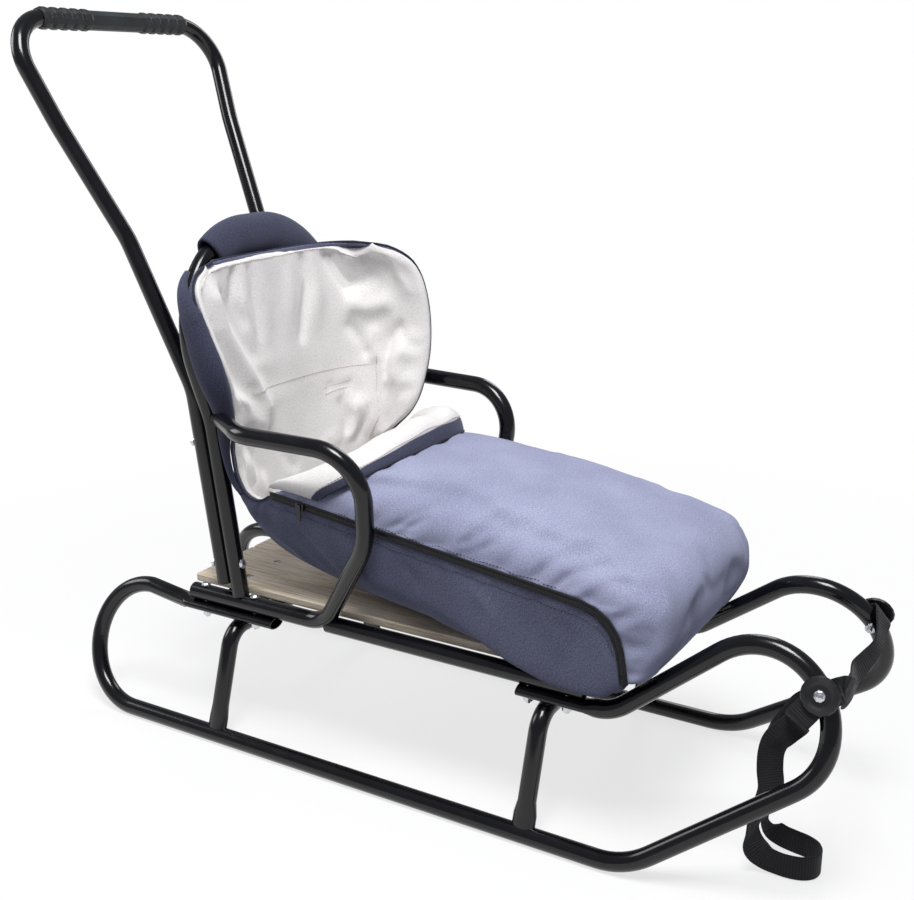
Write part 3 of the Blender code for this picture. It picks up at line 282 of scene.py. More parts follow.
# %% [markdown]
# ## Melange cloth
# The outside of the footmuff is a coated polyester with a plain weave. Each thread is spun
# from light and dark fibres, so the cloth looks blue-grey from far away and speckled close up.
# Real threads are 0.35 mm apart, which is finer than a pixel here, so the weave is drawn at
# 1.1 mm and the flecks at 1 to 3 mm long. Lengths come from the UV map, which each cloth piece
# below gets in real metres, so the weave follows the cloth when the apron opens.


# %% Outer cloth
def melange(name, pale, middle, dark):
    made, tree, shader, place = finish(name, 0.86, IOR=1.45, Sheen_Weight=0.25, Sheen_Roughness=0.45,
                                       Specular_IOR_Level=0.25, Sheen_Tint=linear("#c9cce0"))
    here = (place, "UV")
    flecks = [noise(tree, stretched(tree, here, *scale), 1.0, 3.0)
              for scale in ((1500.0, 420.0, 1.0), (420.0, 1500.0, 1.0))]
    crossed = add(tree, "ShaderNodeMix", None, i0=0.5, i2=(flecks[0], "Fac"), i3=(flecks[1], "Fac"))
    tone = ramp(tree, (crossed, 0), (0.33, dark), (0.50, middle), (0.67, pale))
    shade = ramp(tree, (noise(tree, here, 11.0, 3.0), "Fac"), (0.3, "#e2e2e6"), (0.7, "#ffffff"))
    dyed = mixed_colour(tree, 1.0, (tone, 0), (shade, 0), "MULTIPLY")
    feed(tree, dyed, 2, shader, "Base Color")
    weave = [add(tree, "ShaderNodeTexWave", {"bands_direction": "DIAGONAL"},
                 Vector=stretched(tree, here, *scale), Scale=0.32, Distortion=0.4)
             for scale in ((910.0, 0.0, 0.0), (0.0, 910.0, 0.0))]
    cross = combined(tree, "MAXIMUM", (weave[0], "Fac"), (weave[1], "Fac"))
    bump(tree, shader, (combined(tree, "ADD", (cross, 0), (crossed, 0)), 0), 0.00008)
    return made


cloth_grey = melange("melange_polyester", "#c2c6de", "#a2a6c2", "#8084a2")
# The side cloth is darker than the apron's, partly as its own colour and partly as painted shade.
side_cloth_dark_and_shaded = melange("melange_polyester_side_dark_and_shaded", "#868aa0", "#62657c", "#444659")
# The same grey cloth again, darkened as painted shade, for pieces that face forward, down or away from
# the lamps.
cloth_painted_shade = melange("melange_polyester_painted_shade", "#626478", "#484a5e", "#313243")
piping_grey = melange("melange_binding", "#4d4f5f", "#323341", "#1d1e2a")
print("cloth:", cloth_grey.name, side_cloth_dark_and_shaded.name, cloth_painted_shade.name, piping_grey.name)

# %% [markdown]
# ## Fleece
# The lining is a cream polyester fleece. Its pile is brushed up, so light scatters in it: very
# rough, with a soft sheen at grazing angles and no clear highlight. The pile shows as small
# tufts, drawn 2.5 mm wide, and larger soft patches where hands have pushed it one way.


# %% Cream fleece
def cream_fleece():
    made, tree, shader, place = finish("cream_fleece", 0.95, IOR=1.45, Sheen_Weight=0.35,
                                       Sheen_Roughness=0.6, Specular_IOR_Level=0.15)
    tufts = (noise(tree, (place, "UV"), 400.0, 4.0), "Fac")
    patch = (noise(tree, (place, "UV"), 14.0, 4.0), "Fac")
    tone = ramp(tree, patch, (0.30, "#ece9e8"), (0.70, "#f6f4f3"))
    pile = ramp(tree, tufts, (0.35, "#f3f1ee"), (0.60, "#ffffff"))
    mixed = mixed_colour(tree, 1.0, (tone, 0), (pile, 0), "MULTIPLY")
    feed(tree, mixed, 2, shader, "Base Color")
    bump(tree, shader, tufts, 0.0006)
    return made


fleece = cream_fleece()
print("lining:", fleece.name)

# %% [markdown]
# ## Webbing and zip tape
# Webbing is woven polypropylene, with thick ribs straight across the band every 1.4 mm. The
# zip tape is a finer twill of the same black yarn. Both are matt, and the ribs catch a little
# light on their crowns.


# %% Black webbing
def ribbed(name, rib_mm, dark, pale, coordinate):
    made, tree, shader, place = finish(name, 0.78, IOR=1.5, Sheen_Weight=0.12,
                                       Specular_IOR_Level=0.3)
    here = (place, coordinate)
    ribs = add(tree, "ShaderNodeTexWave", {"bands_direction": "Y"}, Vector=here,
               Scale=314.0 / rib_mm / 2.0, Distortion=0.15)
    lint = noise(tree, here, 260.0, 3.0)
    mixed = add(tree, "ShaderNodeMix", None, i0=0.45, i2=(ribs, "Fac"), i3=(lint, "Fac"))
    feed(tree, ramp(tree, (mixed, 0), (0.2, dark), (0.8, pale)), 0, shader, "Base Color")
    bump(tree, shader, (mixed, 0), 0.00035)
    return made


webbing = ribbed("black_webbing", 1.4, "#0b0b0e", "#26262c", "UV")
tape = ribbed("black_zip_tape", 0.8, "#0a0a0c", "#1d1d22", "Object")
print("bands:", webbing.name, tape.name)

# %% [markdown]
# ## Finishes on the hard pieces
# Every solid piece of the model is already the right shape. It only needs its own finish, put
# in place of the plain one that it was packed with.

# %% Dress the hard pieces
HARD_FINISHES = (
    (("runner", "seat_rail", "armrest", "backrest_hoop", "push_handle", "slat_bar"), enamel),
    (("arch",), pale_spotted_enamel),
    (("seat_slat",), beech),
    (("slat_screw", "rail_bolt", "handle_bolt", "nose_bolt"), zinc),
    (("handle_grip",), grip_rubber),
    (("handle_plug", "rail_plug", "nose_washer"), nylon),
    (("zip_tape",), tape),
    (("zip_slider", "zip_pull"), enamel),
)
dressed = 0
for starts, material in HARD_FINISHES:
    for node_name, node in nodes.items():
        if node_name.startswith(starts):
            node.data.materials.clear()
            node.data.materials.append(material)
            dressed += 1
print("hard pieces dressed:", dressed)

# %% [markdown]
# ## Bent tube
# The solids of the frame are tubes with twelve sides, which is enough for contact but shows as
# facets in a glossy finish. A bent tube is a circle swept along straight lines and arcs, so each
# long tube is swept again here with a rounder section along the same corners. Pressed ends turn
# the circle into a flat oval, as a press does where two tubes are bolted together.


# %% Small tools for paths and meshes
def clamp(value):
    """A value kept between 0 and 1."""
    return min(1.0, max(0.0, value))


def heading(path, i):
    """The direction of a path at its point i."""
    return (path[min(i + 1, len(path) - 1)] - path[max(i - 1, 0)]).normalized()


def walked_along(path):
    """The length of a path up to each of its points."""
    lengths = [0.0]
    for a, b in zip(path, path[1:]):
        lengths.append(lengths[-1] + (b - a).length)
    return lengths


def mirrored(point):
    return Vector((-point.x, point.y, point.z))


def skin(bm, rings):
    """Faces between rings of points, each ring closed on itself."""
    for a, b in zip(rings, rings[1:]):
        for k in range(len(a)):
            j = (k + 1) % len(a)
            bm.faces.new((a[k], a[j], b[j], b[k]))


def new_piece(name, bm, material, smooth=True, where=None):
    """Turn a mesh in the making into an object. where holds each point's place on the cloth."""
    bmesh.ops.recalc_face_normals(bm, faces=bm.faces)
    uv = bm.loops.layers.uv.active
    for face in bm.faces:
        face.smooth = smooth
        if where:
            for loop in face.loops:
                loop[uv].uv = where[loop.vert]
    mesh = bpy.data.meshes.new(name)
    bm.to_mesh(mesh)
    bm.free()
    mesh.materials.append(material)
    piece = bpy.data.objects.new(name, mesh)
    bpy.context.scene.collection.objects.link(piece)
    return piece


print("path and mesh tools ready")


# %% Straight lines joined by arcs
def rounded(points, radii, degrees):
    """Corner points joined by straight lines, each inner corner rounded by its radius."""
    points = [Vector(p) for p in points]
    path = [points[0]]
    for before, corner, after, radius in zip(points, points[1:], points[2:], radii):
        inward = (before - corner).normalized()
        outward = (after - corner).normalized()
        turn = math.pi - inward.angle(outward)
        if radius <= 0.0 or turn < 1e-4:
            path.append(corner)
            continue
        reach = radius * math.tan(turn / 2.0)
        centre = corner + (inward + outward).normalized() * (radius / math.cos(turn / 2.0))
        start = corner + inward * reach - centre
        axis = start.cross(corner + outward * reach - centre).normalized()
        count = max(2, math.ceil(turn / math.radians(degrees)))
        for k in range(count + 1):
            path.append(centre + Matrix.Rotation(turn * k / count, 3, axis) @ start)
    path.append(points[-1])
    return path


TUBE_R = 0.0100
TUBE_TURNS = [2.0 * math.pi * k / 32 for k in range(32)]
WALL = 0.15                  # the tube's wall, as a share of its radius
END_DEPTH = 0.012            # how deep an open end shows


def bent_tube(name, path, material, section=None, hint=(1.0, 0.0, 0.0), level=False):
    """Sweep a round tube along a path. section(point) gives half its width and height there."""
    bm = bmesh.new()
    rings = []
    side = Vector(hint)
    for i, here in enumerate(path):
        run = heading(path, i)
        side = Vector(hint) if level else side
        side = (side - run * run.dot(side)).normalized()
        other = run.cross(side)
        wide, high = section(here) if section else (TUBE_R, TUBE_R)
        rings.append([bm.verts.new(here + side * (math.cos(turn) * wide)
                                   + other * (math.sin(turn) * high)) for turn in TUBE_TURNS])
    skin(bm, rings)
    for ring, inset in ((rings[0], path[1] - path[0]), (rings[-1], path[-2] - path[-1])):
        centre = sum((v.co for v in ring), Vector()) / len(ring)
        lip = [bm.verts.new(centre + (v.co - centre) * (1.0 - WALL)) for v in ring]
        deep = [bm.verts.new(v.co + inset.normalized() * END_DEPTH) for v in lip]
        skin(bm, (ring, lip, deep))
        bm.faces.new(deep)
    piece = new_piece(name, bm, material)
    piece.data.set_sharp_from_angle(angle=math.radians(45.0))
    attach(piece, "sled")
    return piece


print("tube tools ready, outside diameter", TUBE_R * 2000, "mm")

# %% [markdown]
# ## Where the tubes go
# Each tube is bent over a few corners, so its line is a list of corner points with a bend radius
# at each. The runners lean inward to the seat rails. The hoop leans back, and the handle is
# bolted flat behind its posts, leaves it where they curve in, and leans back further.

# %% Measures of the frame
SEAT_X = 0.1190              # seat rail centre to the middle of the sled
TRACK_X = 0.1665             # runner centre to the middle, on the ground
RAIL_Z = 0.1655              # centre of the seat rails
GROUND_Z = 0.00966           # centre of the runner where it lies on the ground
RUNNER_TOP_Z = 0.1487        # centre of the runner's pressed ends, under the rail
RUNNER_LEAN = (TRACK_X - SEAT_X) / (RUNNER_TOP_Z - GROUND_Z)
NOSE_Y, RISE_Y, TAIL_Y = -0.4785, -0.3016, 0.4350   # runner: nose, end of the ground run, tail
HOOP_FOOT = (0.2195, 0.1880)  # the hoop's centre above the rail: along the sled, and height
RECLINE = 0.1416             # how far the hoop goes back for each metre up
HOOP_TOP = (0.5910, 0.1200)  # height of the hoop's top, and the radius of its corners
GRIP_Z = 0.8310
KINK_Z = 0.4190              # where the handle leaves the hoop's posts
SPREAD_DROP, LEAN_DROP = 0.245, 0.116   # below the grip: where the handle spreads, where it turns
HANDLE_SPREAD = 0.2300
print("track", TRACK_X * 2000, "mm, seat rails", SEAT_X * 2000, "mm apart")


# %% Lines of the tubes
def both_sides(half):
    """Corners of one side, and the same on the other side in reverse."""
    return half + [(-corner[0], *corner[1:]) for corner in reversed(half)]


def runner_x(z):
    return TRACK_X - RUNNER_LEAN * (z - GROUND_Z)


def hoop_y(z):
    return HOOP_FOOT[0] + RECLINE * (z - HOOP_FOOT[1])


def runner_line(side):
    """Pressed rear end, round the curl, along the ground, up to the nose and back under the rail."""
    rise, fall = math.tan(math.radians(36.5)), math.radians(38.4)
    nose_r, nose_top, curl_r = 0.0720, 0.2430, 0.0730
    nose_z = nose_top - nose_r + nose_r * math.tan((math.pi / 2.0 + fall) / 2.0)
    foot_y = NOSE_Y + (nose_z - RUNNER_TOP_Z) / math.tan(fall)
    curl_z = GROUND_Z + 2.0 * curl_r
    corners = [(0.1660, RUNNER_TOP_Z), (0.3000, RUNNER_TOP_Z), (0.3620, curl_z), (TAIL_Y, curl_z),
               (TAIL_Y, GROUND_Z), (RISE_Y, GROUND_Z),
               (NOSE_Y, GROUND_Z + rise * (RISE_Y - NOSE_Y)), (NOSE_Y, nose_z),
               (foot_y, RUNNER_TOP_Z), (-0.1580, RUNNER_TOP_Z)]
    radii = [0.08, 0.0, curl_r, curl_r, 0.0900, 0.0600, nose_r, 0.0500]
    line = rounded([(0.0, y, z) for y, z in corners], radii, 5.0)
    path = [Vector((side * runner_x(p.z), p.y, p.z)) for p in line]
    path[1:1] = [Vector((side * SEAT_X, y, RUNNER_TOP_Z)) for y in (0.265, 0.288)]
    path.insert(-1, Vector((side * SEAT_X, -0.2350, RUNNER_TOP_Z)))
    return path


def pressed_end(point):
    """The runner is pressed from a circle to 25 by 13 mm under the rail."""
    if abs(point.z - RUNNER_TOP_Z) < 0.0035 and -0.236 < point.y < 0.301:
        return 0.0125, 0.0065
    return TUBE_R, TUBE_R


def armrest_line(side):
    """From the hoop, forward, down, and back along the rail."""
    corners = [(SEAT_X, hoop_y(0.3900) - 0.008, 0.3900), (0.1745, 0.1620, 0.3930),
               (0.1670, 0.0045, 0.3905), (0.1500, 0.0140, 0.2850), (SEAT_X, 0.0935, RAIL_Z),
               (SEAT_X, 0.2890, RAIL_Z)]
    return rounded([(side * x, y, z) for x, y, z in corners], [0.0450, 0.0550, 0.0900, 0.0450], 5.0)


def handle_y(z):
    """Behind the hoop up to the kink, then leaning back, and a little less near the grip."""
    step = (2.0 * TUBE_R + 0.0003) * math.sqrt(1.0 + RECLINE ** 2)
    middle = 0.5220 * max(0.0, min(z, GRIP_Z - LEAN_DROP) - KINK_Z)
    return hoop_y(min(z, KINK_Z)) + step + middle + 0.4250 * max(0.0, z - GRIP_Z + LEAN_DROP)


def arch_line(y):
    """Up from one runner, across under the seat, and down to the other."""
    top = RUNNER_TOP_Z - 0.0065 - 0.0003 - TUBE_R
    corners = both_sides([(TRACK_X, y, GROUND_Z + 0.004), (SEAT_X + 0.011, y, top)])
    line = rounded(corners, [0.028, 0.028], 5.0)
    down = (line[0] - line[1]).normalized()
    foot = [line[0] - down * length for length in (0.018, 0.032)]
    return [line[0], *foot, *line[1:-1], mirrored(foot[1]), mirrored(foot[0]), line[-1]]


def pressed_foot(point):
    """An arch's foot is pressed to 12 by 26.5 mm where it is welded to the runner."""
    return (0.0060, 0.01325) if point.z < 0.033 else (TUBE_R, TUBE_R)


half_hoop = [(SEAT_X, RAIL_Z + 0.008), (SEAT_X, 0.3850), (0.1650, HOOP_TOP[0])]
hoop_line = rounded([(x, hoop_y(z), z) for x, z in both_sides(half_hoop)],
                    [0.100, 0.120, 0.120, 0.100], 4.0)
half_handle = [(SEAT_X, HOOP_FOOT[1]), (SEAT_X, KINK_Z), (SEAT_X, GRIP_Z - SPREAD_DROP),
               (SEAT_X + HANDLE_SPREAD * (SPREAD_DROP - LEAN_DROP), GRIP_Z - LEAN_DROP),
               (SEAT_X + HANDLE_SPREAD * SPREAD_DROP, GRIP_Z)]
handle_line = rounded([(x, handle_y(z), z) for x, z in both_sides(half_handle)],
                      [0.07, 0.09, 0.25, 0.052, 0.052, 0.25, 0.09, 0.07], 5.0)
print("hoop", round(walked_along(hoop_line)[-1], 2), "m and handle",
      round(walked_along(handle_line)[-1], 2), "m of tube")

# %% Sweep the tubes
for label, side in (("right", -1), ("left", 1)):
    runner = bent_tube("runner_tube_" + label, runner_line(side), enamel, pressed_end, level=True)
    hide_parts("runner_" + label)
    arm = bent_tube("armrest_tube_" + label, armrest_line(side), enamel)
    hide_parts("armrest_" + label)
    rail = bent_tube("seat_rail_tube_" + label, [Vector((side * SEAT_X, 0.0900, RAIL_Z)),
                                                 Vector((side * SEAT_X, -0.2330, RAIL_Z))], enamel)
    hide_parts("seat_rail_" + label)
hoop = bent_tube("hoop_tube", hoop_line, enamel, hint=(0.0, 1.0, 0.0))
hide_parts("backrest_hoop")
handle = bent_tube("handle_tube", handle_line, enamel, hint=(0.0, 1.0, 0.0))
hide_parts("push_handle")
for label, y in (("rear", 0.2250), ("front", -0.1880)):
    arch = bent_tube("arch_tube_" + label, arch_line(y), pale_spotted_enamel, pressed_foot, (0.3, 0.0, 1.0))
    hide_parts("arch_" + label)
print("tubes swept: 2 runners, 2 armrests, 2 rails, hoop, handle and 2 arches")

# %% [markdown]
# ## Pattern lines of the footmuff
# A soft bag has no drawing, but it has edges and a middle. The seat's middle lies on the slats,
# the back's middle lies on the hoop, and both sides end at the zip or at the wing's edge. Each
# list below holds stations along the bag, and a smooth curve is read between them. The numbers
# are those of the engineering model, in metres, so that the cloth lies where its solids are.

# %% Stations of the bag
SLAT_TOP = 0.1820            # upper face of the slats
SEAT_LINE = [(0.00, -0.2805, 0.00035), (0.12, -0.2450, 0.00035), (0.45, -0.1150, 0.00035),
             (0.66, -0.0150, 0.00035), (0.82, 0.0700, 0.0020), (1.00, 0.1680, 0.0240)]
SEAT_FULLNESS = [(0.0, 5.0), (0.12, 5.0), (0.45, 4.2), (0.66, 3.3), (0.82, 2.6), (1.0, 2.4)]
BACK_LINE = [(1.15, 0.0253, 0.0540), (1.30, 0.0161, 0.0880), (1.45, 0.0153, 0.1280),
             (1.60, 0.0142, 0.1630), (1.75, 0.0139, 0.2030), (1.95, 0.0147, 0.2580),
             (2.15, 0.0150, 0.3130), (2.32, 0.0161, 0.3530), (2.42, 0.0171, 0.3740),
             (2.50, 0.0175, 0.3840)]
LEFT_EDGE = [(1.00, 0.160, 0.128, 0.0075, 2.4), (1.15, 0.176, 0.119, 0.0075, 2.4),
             (1.30, 0.180, 0.123, 0.0075, 2.4), (1.45, 0.162, 0.145, 0.0085, 2.4),
             (1.60, 0.134, 0.175, 0.0130, 2.6), (1.75, 0.123, 0.206, 0.0220, 2.8),
             (1.95, 0.120, 0.258, 0.0360, 2.7), (2.15, 0.126, 0.318, 0.0390, 2.6),
             (2.32, 0.142, 0.361, 0.0330, 2.8), (2.42, 0.168, 0.381, 0.0160, 3.0),
             (2.50, 0.205, 0.387, -0.0070, 3.0)]
RIGHT_EDGE = [(1.00, 0.160, 0.128, 0.0075, 2.4), (1.15, 0.178, 0.119, 0.0075, 2.4),
              (1.30, 0.197, 0.123, 0.0065, 2.6), (1.45, 0.211, 0.142, 0.0045, 3.0),
              (1.60, 0.217, 0.170, 0.0035, 3.0), (1.75, 0.213, 0.208, 0.0035, 2.8),
              (1.95, 0.207, 0.263, 0.0220, 4.0), (2.15, 0.222, 0.318, 0.0320, 5.0),
              (2.32, 0.236, 0.356, 0.0320, 5.0), (2.42, 0.243, 0.376, 0.0160, 4.0),
              (2.50, 0.246, 0.385, -0.0140, 3.0)]
CROWN_LINE = [(0.00, 0.0600, 0.1680, 2.9), (0.18, 0.0020, 0.1700, 3.0), (0.36, -0.0700, 0.1650, 3.2),
              (0.54, -0.1400, 0.1550, 3.4), (0.70, -0.2120, 0.1390, 3.8), (0.78, -0.2570, 0.1270, 4.4),
              (0.85, -0.2970, 0.1070, 5.0), (0.91, -0.3200, 0.0790, 5.5), (0.96, -0.3240, 0.0450, 5.0),
              (1.00, -0.3060, 0.0135, 4.0)]
ZIP_CORNERS = [(0.0075, 0.1600, 0.1290), (0.0200, -0.2720, 0.0820), (0.0200, -0.2830, 0.0110)]
ZIP_TOE_R = 0.0520
ZIP_HALF_GAP = 0.0018
ZIP_BASE_END = 0.9700
BACK_TOP = 2.50
print("stations:", len(SEAT_LINE) + len(BACK_LINE), "for the body,", len(CROWN_LINE), "for the apron")


# %% Read a curve between stations
def track(stations, s):
    """A smooth line through stations of (key, value, value, ...), read at key s."""
    last = len(stations) - 1
    k = 0
    while k < last - 1 and s > stations[k + 1][0]:
        k += 1
    low, high = stations[k], stations[k + 1]
    before, after = stations[max(k - 1, 0)], stations[min(k + 2, last)]
    width = high[0] - low[0]
    t = (s - low[0]) / width
    values = []
    for a, p, q, b in zip(before[1:], low[1:], high[1:], after[1:]):
        slope_p = (q - a) / (high[0] - before[0]) * width
        slope_q = (b - p) / (after[0] - low[0]) * width
        values.append((2 * t ** 3 - 3 * t ** 2 + 1) * p + (t ** 3 - 2 * t ** 2 + t) * slope_p
                      + (3 * t ** 2 - 2 * t ** 3) * q + (t ** 3 - t ** 2) * slope_q)
    return values


def along(path, fraction):
    """The point at a fraction of a path's length, and the direction there."""
    spans = [(b - a).length for a, b in zip(path, path[1:])]
    left = fraction * sum(spans)
    for a, b, length in zip(path, path[1:], spans):
        if left <= length or b is path[-1]:
            return a + (b - a) * (left / length), (b - a).normalized()
        left -= length


def steps(low, high, count):
    return [low + (high - low) * k / count for k in range(count + 1)]


zip_line = rounded([(SEAT_X + out, y, SLAT_TOP + up) for out, y, up in ZIP_CORNERS], [ZIP_TOE_R], 20.0)
zip_length = walked_along(zip_line)[-1]
print("zip length", round(zip_length * 1000), "mm")

# %% [markdown]
# ## Cross lines
# A cross line runs from the right edge, under the child, to the left edge. It is a
# superellipse: 2 gives a round hollow, and 4 gives a flat bottom with upright sides. The two
# halves have their own fullness, because the left wing stands up inside the armrest while the
# right one has fallen open against the post.


# %% Draw a cross line
SEAT_REST = 0.00035          # the cloth lies this far above the slats


def zip_point(fraction, lift=0.0):
    """A point of the left zip line, moved square to it and upward by lift."""
    point, direction = along(zip_line, fraction)
    upward = Vector((0.0, direction.z, -direction.y)).normalized()
    return point + upward * lift


def soft_row(right, left, spine, columns):
    """A superellipse between two edges, each a point and its fullness, with its middle at spine."""
    row = []
    for k in range(columns + 1):
        turn = math.pi * k / columns
        edge, fullness = right if 2 * k <= columns else left
        share = max(0.0, math.sin(turn)) ** (2.0 / fullness)
        x = edge.x * abs(math.cos(turn)) ** (2.0 / fullness)
        row.append(Vector((x, edge.y + (spine[0] - edge.y) * share,
                           edge.z + (spine[1] - edge.z) * share)))
    return row


spine_line = [(key, y, SLAT_TOP + up) for key, y, up in SEAT_LINE]
for key, before, up in BACK_LINE:
    spine_line.append((key, hoop_y(SLAT_TOP + up) - before, SLAT_TOP + up))


def body_edges(s):
    """Right and left edge of the body at key s, each a point and its fullness."""
    if s <= 1.0:
        left = zip_point(ZIP_BASE_END * (1.0 - s), -ZIP_HALF_GAP)
        fullness = track(SEAT_FULLNESS, s)[0]
        return (mirrored(left), fullness), (left, fullness)
    edges = []
    for side, stations in ((-1, RIGHT_EDGE), (1, LEFT_EDGE)):
        y, up, out, fullness = track(stations, s)
        edges.append((Vector((side * (SEAT_X + out), y, SLAT_TOP + up)), fullness))
    return edges


def body_row(s, columns, boxy=0.0):
    """A cross line of the body, from the foot (s = 0) to the top of the back (2.5)."""
    spine_y, spine_z = track(spine_line, s)
    (right, full_right), (left, full_left) = body_edges(s)
    return soft_row((right, full_right + boxy), (left, full_left + boxy),
                    (spine_y, max(spine_z, SLAT_TOP + SEAT_REST)), columns)


def apron_row(fraction, columns):
    """A cross line of the apron, from its collar (0) over the toe and down to the foot (1)."""
    crown_y, crown_up, fullness = track(CROWN_LINE, fraction)
    left = zip_point(fraction, ZIP_HALF_GAP)
    return soft_row((mirrored(left), fullness), (left, fullness), (crown_y, SLAT_TOP + crown_up),
                    columns)


print("middle cross line is", round((body_row(0.5, 20)[-1] - body_row(0.5, 20)[0]).length * 1000),
      "mm wide")

# %% [markdown]
# ## From cross lines to a grid
# Cross lines at an even pace make a grid of points. A grid that is evenly spaced both ways
# stretches little, so the weave keeps its size, and a fold can be placed by its share down and
# across the grid.


# %% Grids of cross lines
def grid_normals(grid):
    """The outward direction at each point of a grid of cross lines."""
    last = len(grid) - 1
    found = []
    for i, row in enumerate(grid):
        runs = [b - a for a, b in zip(grid[max(i - 1, 0)], grid[min(i + 1, last)])]
        across = [row[min(k + 1, len(row) - 1)] - row[max(k - 1, 0)] for k in range(len(row))]
        found.append([run.cross(side).normalized() for run, side in zip(runs, across)])
    return found


def offset(grid, normals, amount):
    return [[p + n * amount for p, n in zip(row, line)] for row, line in zip(grid, normals)]


def places(walked, count):
    """Even places along a list of lengths, each an index and a share of the way to the next."""
    found, k = [], 0
    for want in steps(0.0, walked[-1], count):
        while k < len(walked) - 2 and walked[k + 1] < want:
            k += 1
        found.append((k, clamp((want - walked[k]) / max(walked[k + 1] - walked[k], 1e-9))))
    return found


def even_keys(line, low, high, pace):
    """Keys between low and high whose cross lines lie about pace apart."""
    fine = steps(low, high, 400)
    rows = [line(s, 24) for s in fine]
    walked = [0.0]
    for a, b in zip(rows, rows[1:]):
        walked.append(walked[-1] + max((b[12] - a[12]).length, (b[3] - a[3]).length))
    count = max(4, round(walked[-1] / pace))
    return [fine[k] + (fine[k + 1] - fine[k]) * share for k, share in places(walked, count)]


def respaced(row, columns):
    """The same line with its points at even distances."""
    return [row[k].lerp(row[k + 1], share) for k, share in places(walked_along(row), columns)]


def cross_lines(line, keys, columns):
    return [respaced(line(s, columns * 5), columns) for s in keys]


print("cloth grid helpers ready")

# %% [markdown]
# ## From a grid to padded cloth
# Wadding gives cloth two faces that differ. The face that shows swells between its seams and
# wrinkles where a seam holds it short, and the hidden one lies flat. So the front face goes
# through a short cloth simulation: the seams are pinned, the cloth is cut a few percent too big,
# and a light pressure lifts it. No point may move further than a cap, which keeps the cloth
# clear of its neighbours. Then the two faces are joined round the rim.

# %% Cloth simulation of one face
SIM_FRAMES = 20
SIDE_SLACK = 0.004           # the furthest that a point may slide along the cloth
CLOTH_SETTINGS = {"quality": 6, "mass": 0.25, "tension_stiffness": 12.0,
                  "compression_stiffness": 12.0, "shear_stiffness": 4.0, "bending_stiffness": 0.6,
                  "use_pressure": True, "vertex_group_mass": "held"}


def settle(name, grid, pinned, growth, pressure, cap):
    """Simulate a grid of cloth with some points pinned. Returns the moved grid.

    pinned(i, k) is True for points that a seam holds. growth is the share by which the cloth is
    cut too big. cap is (inward, outward), the furthest that a point may go.
    """
    normals = grid_normals(grid)
    columns = len(grid[0])
    starts = [i * columns + k for i in range(len(grid) - 1) for k in range(columns - 1)]
    mesh = bpy.data.meshes.new(name + "_sim")
    mesh.from_pydata([tuple(p) for row in grid for p in row], [],
                     [(a, a + columns, a + columns + 1, a + 1) for a in starts])
    piece = bpy.data.objects.new(name + "_sim", mesh)
    bpy.context.scene.collection.objects.link(piece)
    held = piece.vertex_groups.new(name="held")
    for i in range(len(grid)):
        for k in range(columns):
            held.add([i * columns + k], 1.0 if pinned(i, k) else 0.0, "REPLACE")
    cloth = piece.modifiers.new("cloth", "CLOTH")
    for key, value in CLOTH_SETTINGS.items():
        setattr(cloth.settings, key, value)
    cloth.settings.shrink_min = -growth
    cloth.settings.uniform_pressure_force = pressure
    cloth.settings.effector_weights.gravity = 0.0
    cloth.collision_settings.use_collision = False
    cloth.point_cache.frame_start = 1
    cloth.point_cache.frame_end = SIM_FRAMES
    scene = bpy.context.scene
    for f in range(1, SIM_FRAMES + 1):
        scene.frame_set(f)
    done = piece.evaluated_get(bpy.context.evaluated_depsgraph_get()).data
    moved = [v.co.copy() for v in done.vertices]
    scene.frame_set(1)
    bpy.data.objects.remove(piece)
    out, furthest = [], 0.0
    for i, row in enumerate(grid):
        out.append([])
        for k, point in enumerate(row):
            normal = normals[i][k]
            step = moved[i * columns + k] - point
            up = step.dot(normal)
            side = step - normal * up
            side = side * min(1.0, SIDE_SLACK / max(side.length, 1e-9))
            up = max(-cap[0], min(cap[1], up))
            furthest = max(furthest, abs(up))
            out[-1].append(point + side + normal * up)
    print(name, "moved up to", round(furthest * 1000, 1), "mm")
    return out


print("cloth is simulated over", SIM_FRAMES, "frames")


# %% Join two faces into one padded piece
def face_map(grid):
    """Real lengths across and along the cloth, for the UV map."""
    middle = len(grid[0]) // 2
    lines = [walked_along(row) for row in grid]
    return [[u - line[middle] for u in line] for line in lines], walked_along(
        [row[middle] for row in grid])


def cloth_sheet(bm, grid, lengths, where):
    """The points of one face in a mesh. where keeps each point's place on the cloth."""
    across, down = lengths
    sheet = [[bm.verts.new(p) for p in row] for row in grid]
    for i, row in enumerate(sheet):
        for k, vert in enumerate(row):
            where[vert] = (across[i][k], down[i])
    return sheet


def cloth_piece(name, front, back, material):
    """A closed piece between a front and a back grid, with a rounded rim and real UV lengths."""
    rows, columns = len(front), len(front[0])
    rim = ([(0, k) for k in range(columns)] + [(i, columns - 1) for i in range(1, rows)]
           + [(rows - 1, k) for k in range(columns - 2, -1, -1)]
           + [(i, 0) for i in range(rows - 2, 0, -1)])
    bm = bmesh.new()
    bm.loops.layers.uv.new("real_metres")
    where = {}
    sheets = [cloth_sheet(bm, grid, face_map(front), where) for grid in (front, back)]
    for sheet, order in zip(sheets, (1, -1)):
        for a, b in zip(sheet, sheet[1:]):
            for k in range(columns - 1):
                bm.faces.new((a[k], b[k], b[k + 1], a[k + 1])[::order])
    for (i, k), (j, m) in zip(rim, rim[1:] + rim[:1]):
        bm.faces.new((sheets[0][i][k], sheets[0][j][m], sheets[1][j][m], sheets[1][i][k]))
    piece = new_piece(name, bm, material, where=where)
    modifier = piece.modifiers.new("subsurf", "SUBSURF")
    modifier.levels = modifier.render_levels = 1
    bpy.context.view_layer.update()
    done = bpy.data.meshes.new_from_object(piece.evaluated_get(bpy.context.evaluated_depsgraph_get()))
    piece.modifiers.clear()
    piece.data = done
    return piece


print("padding helpers ready")
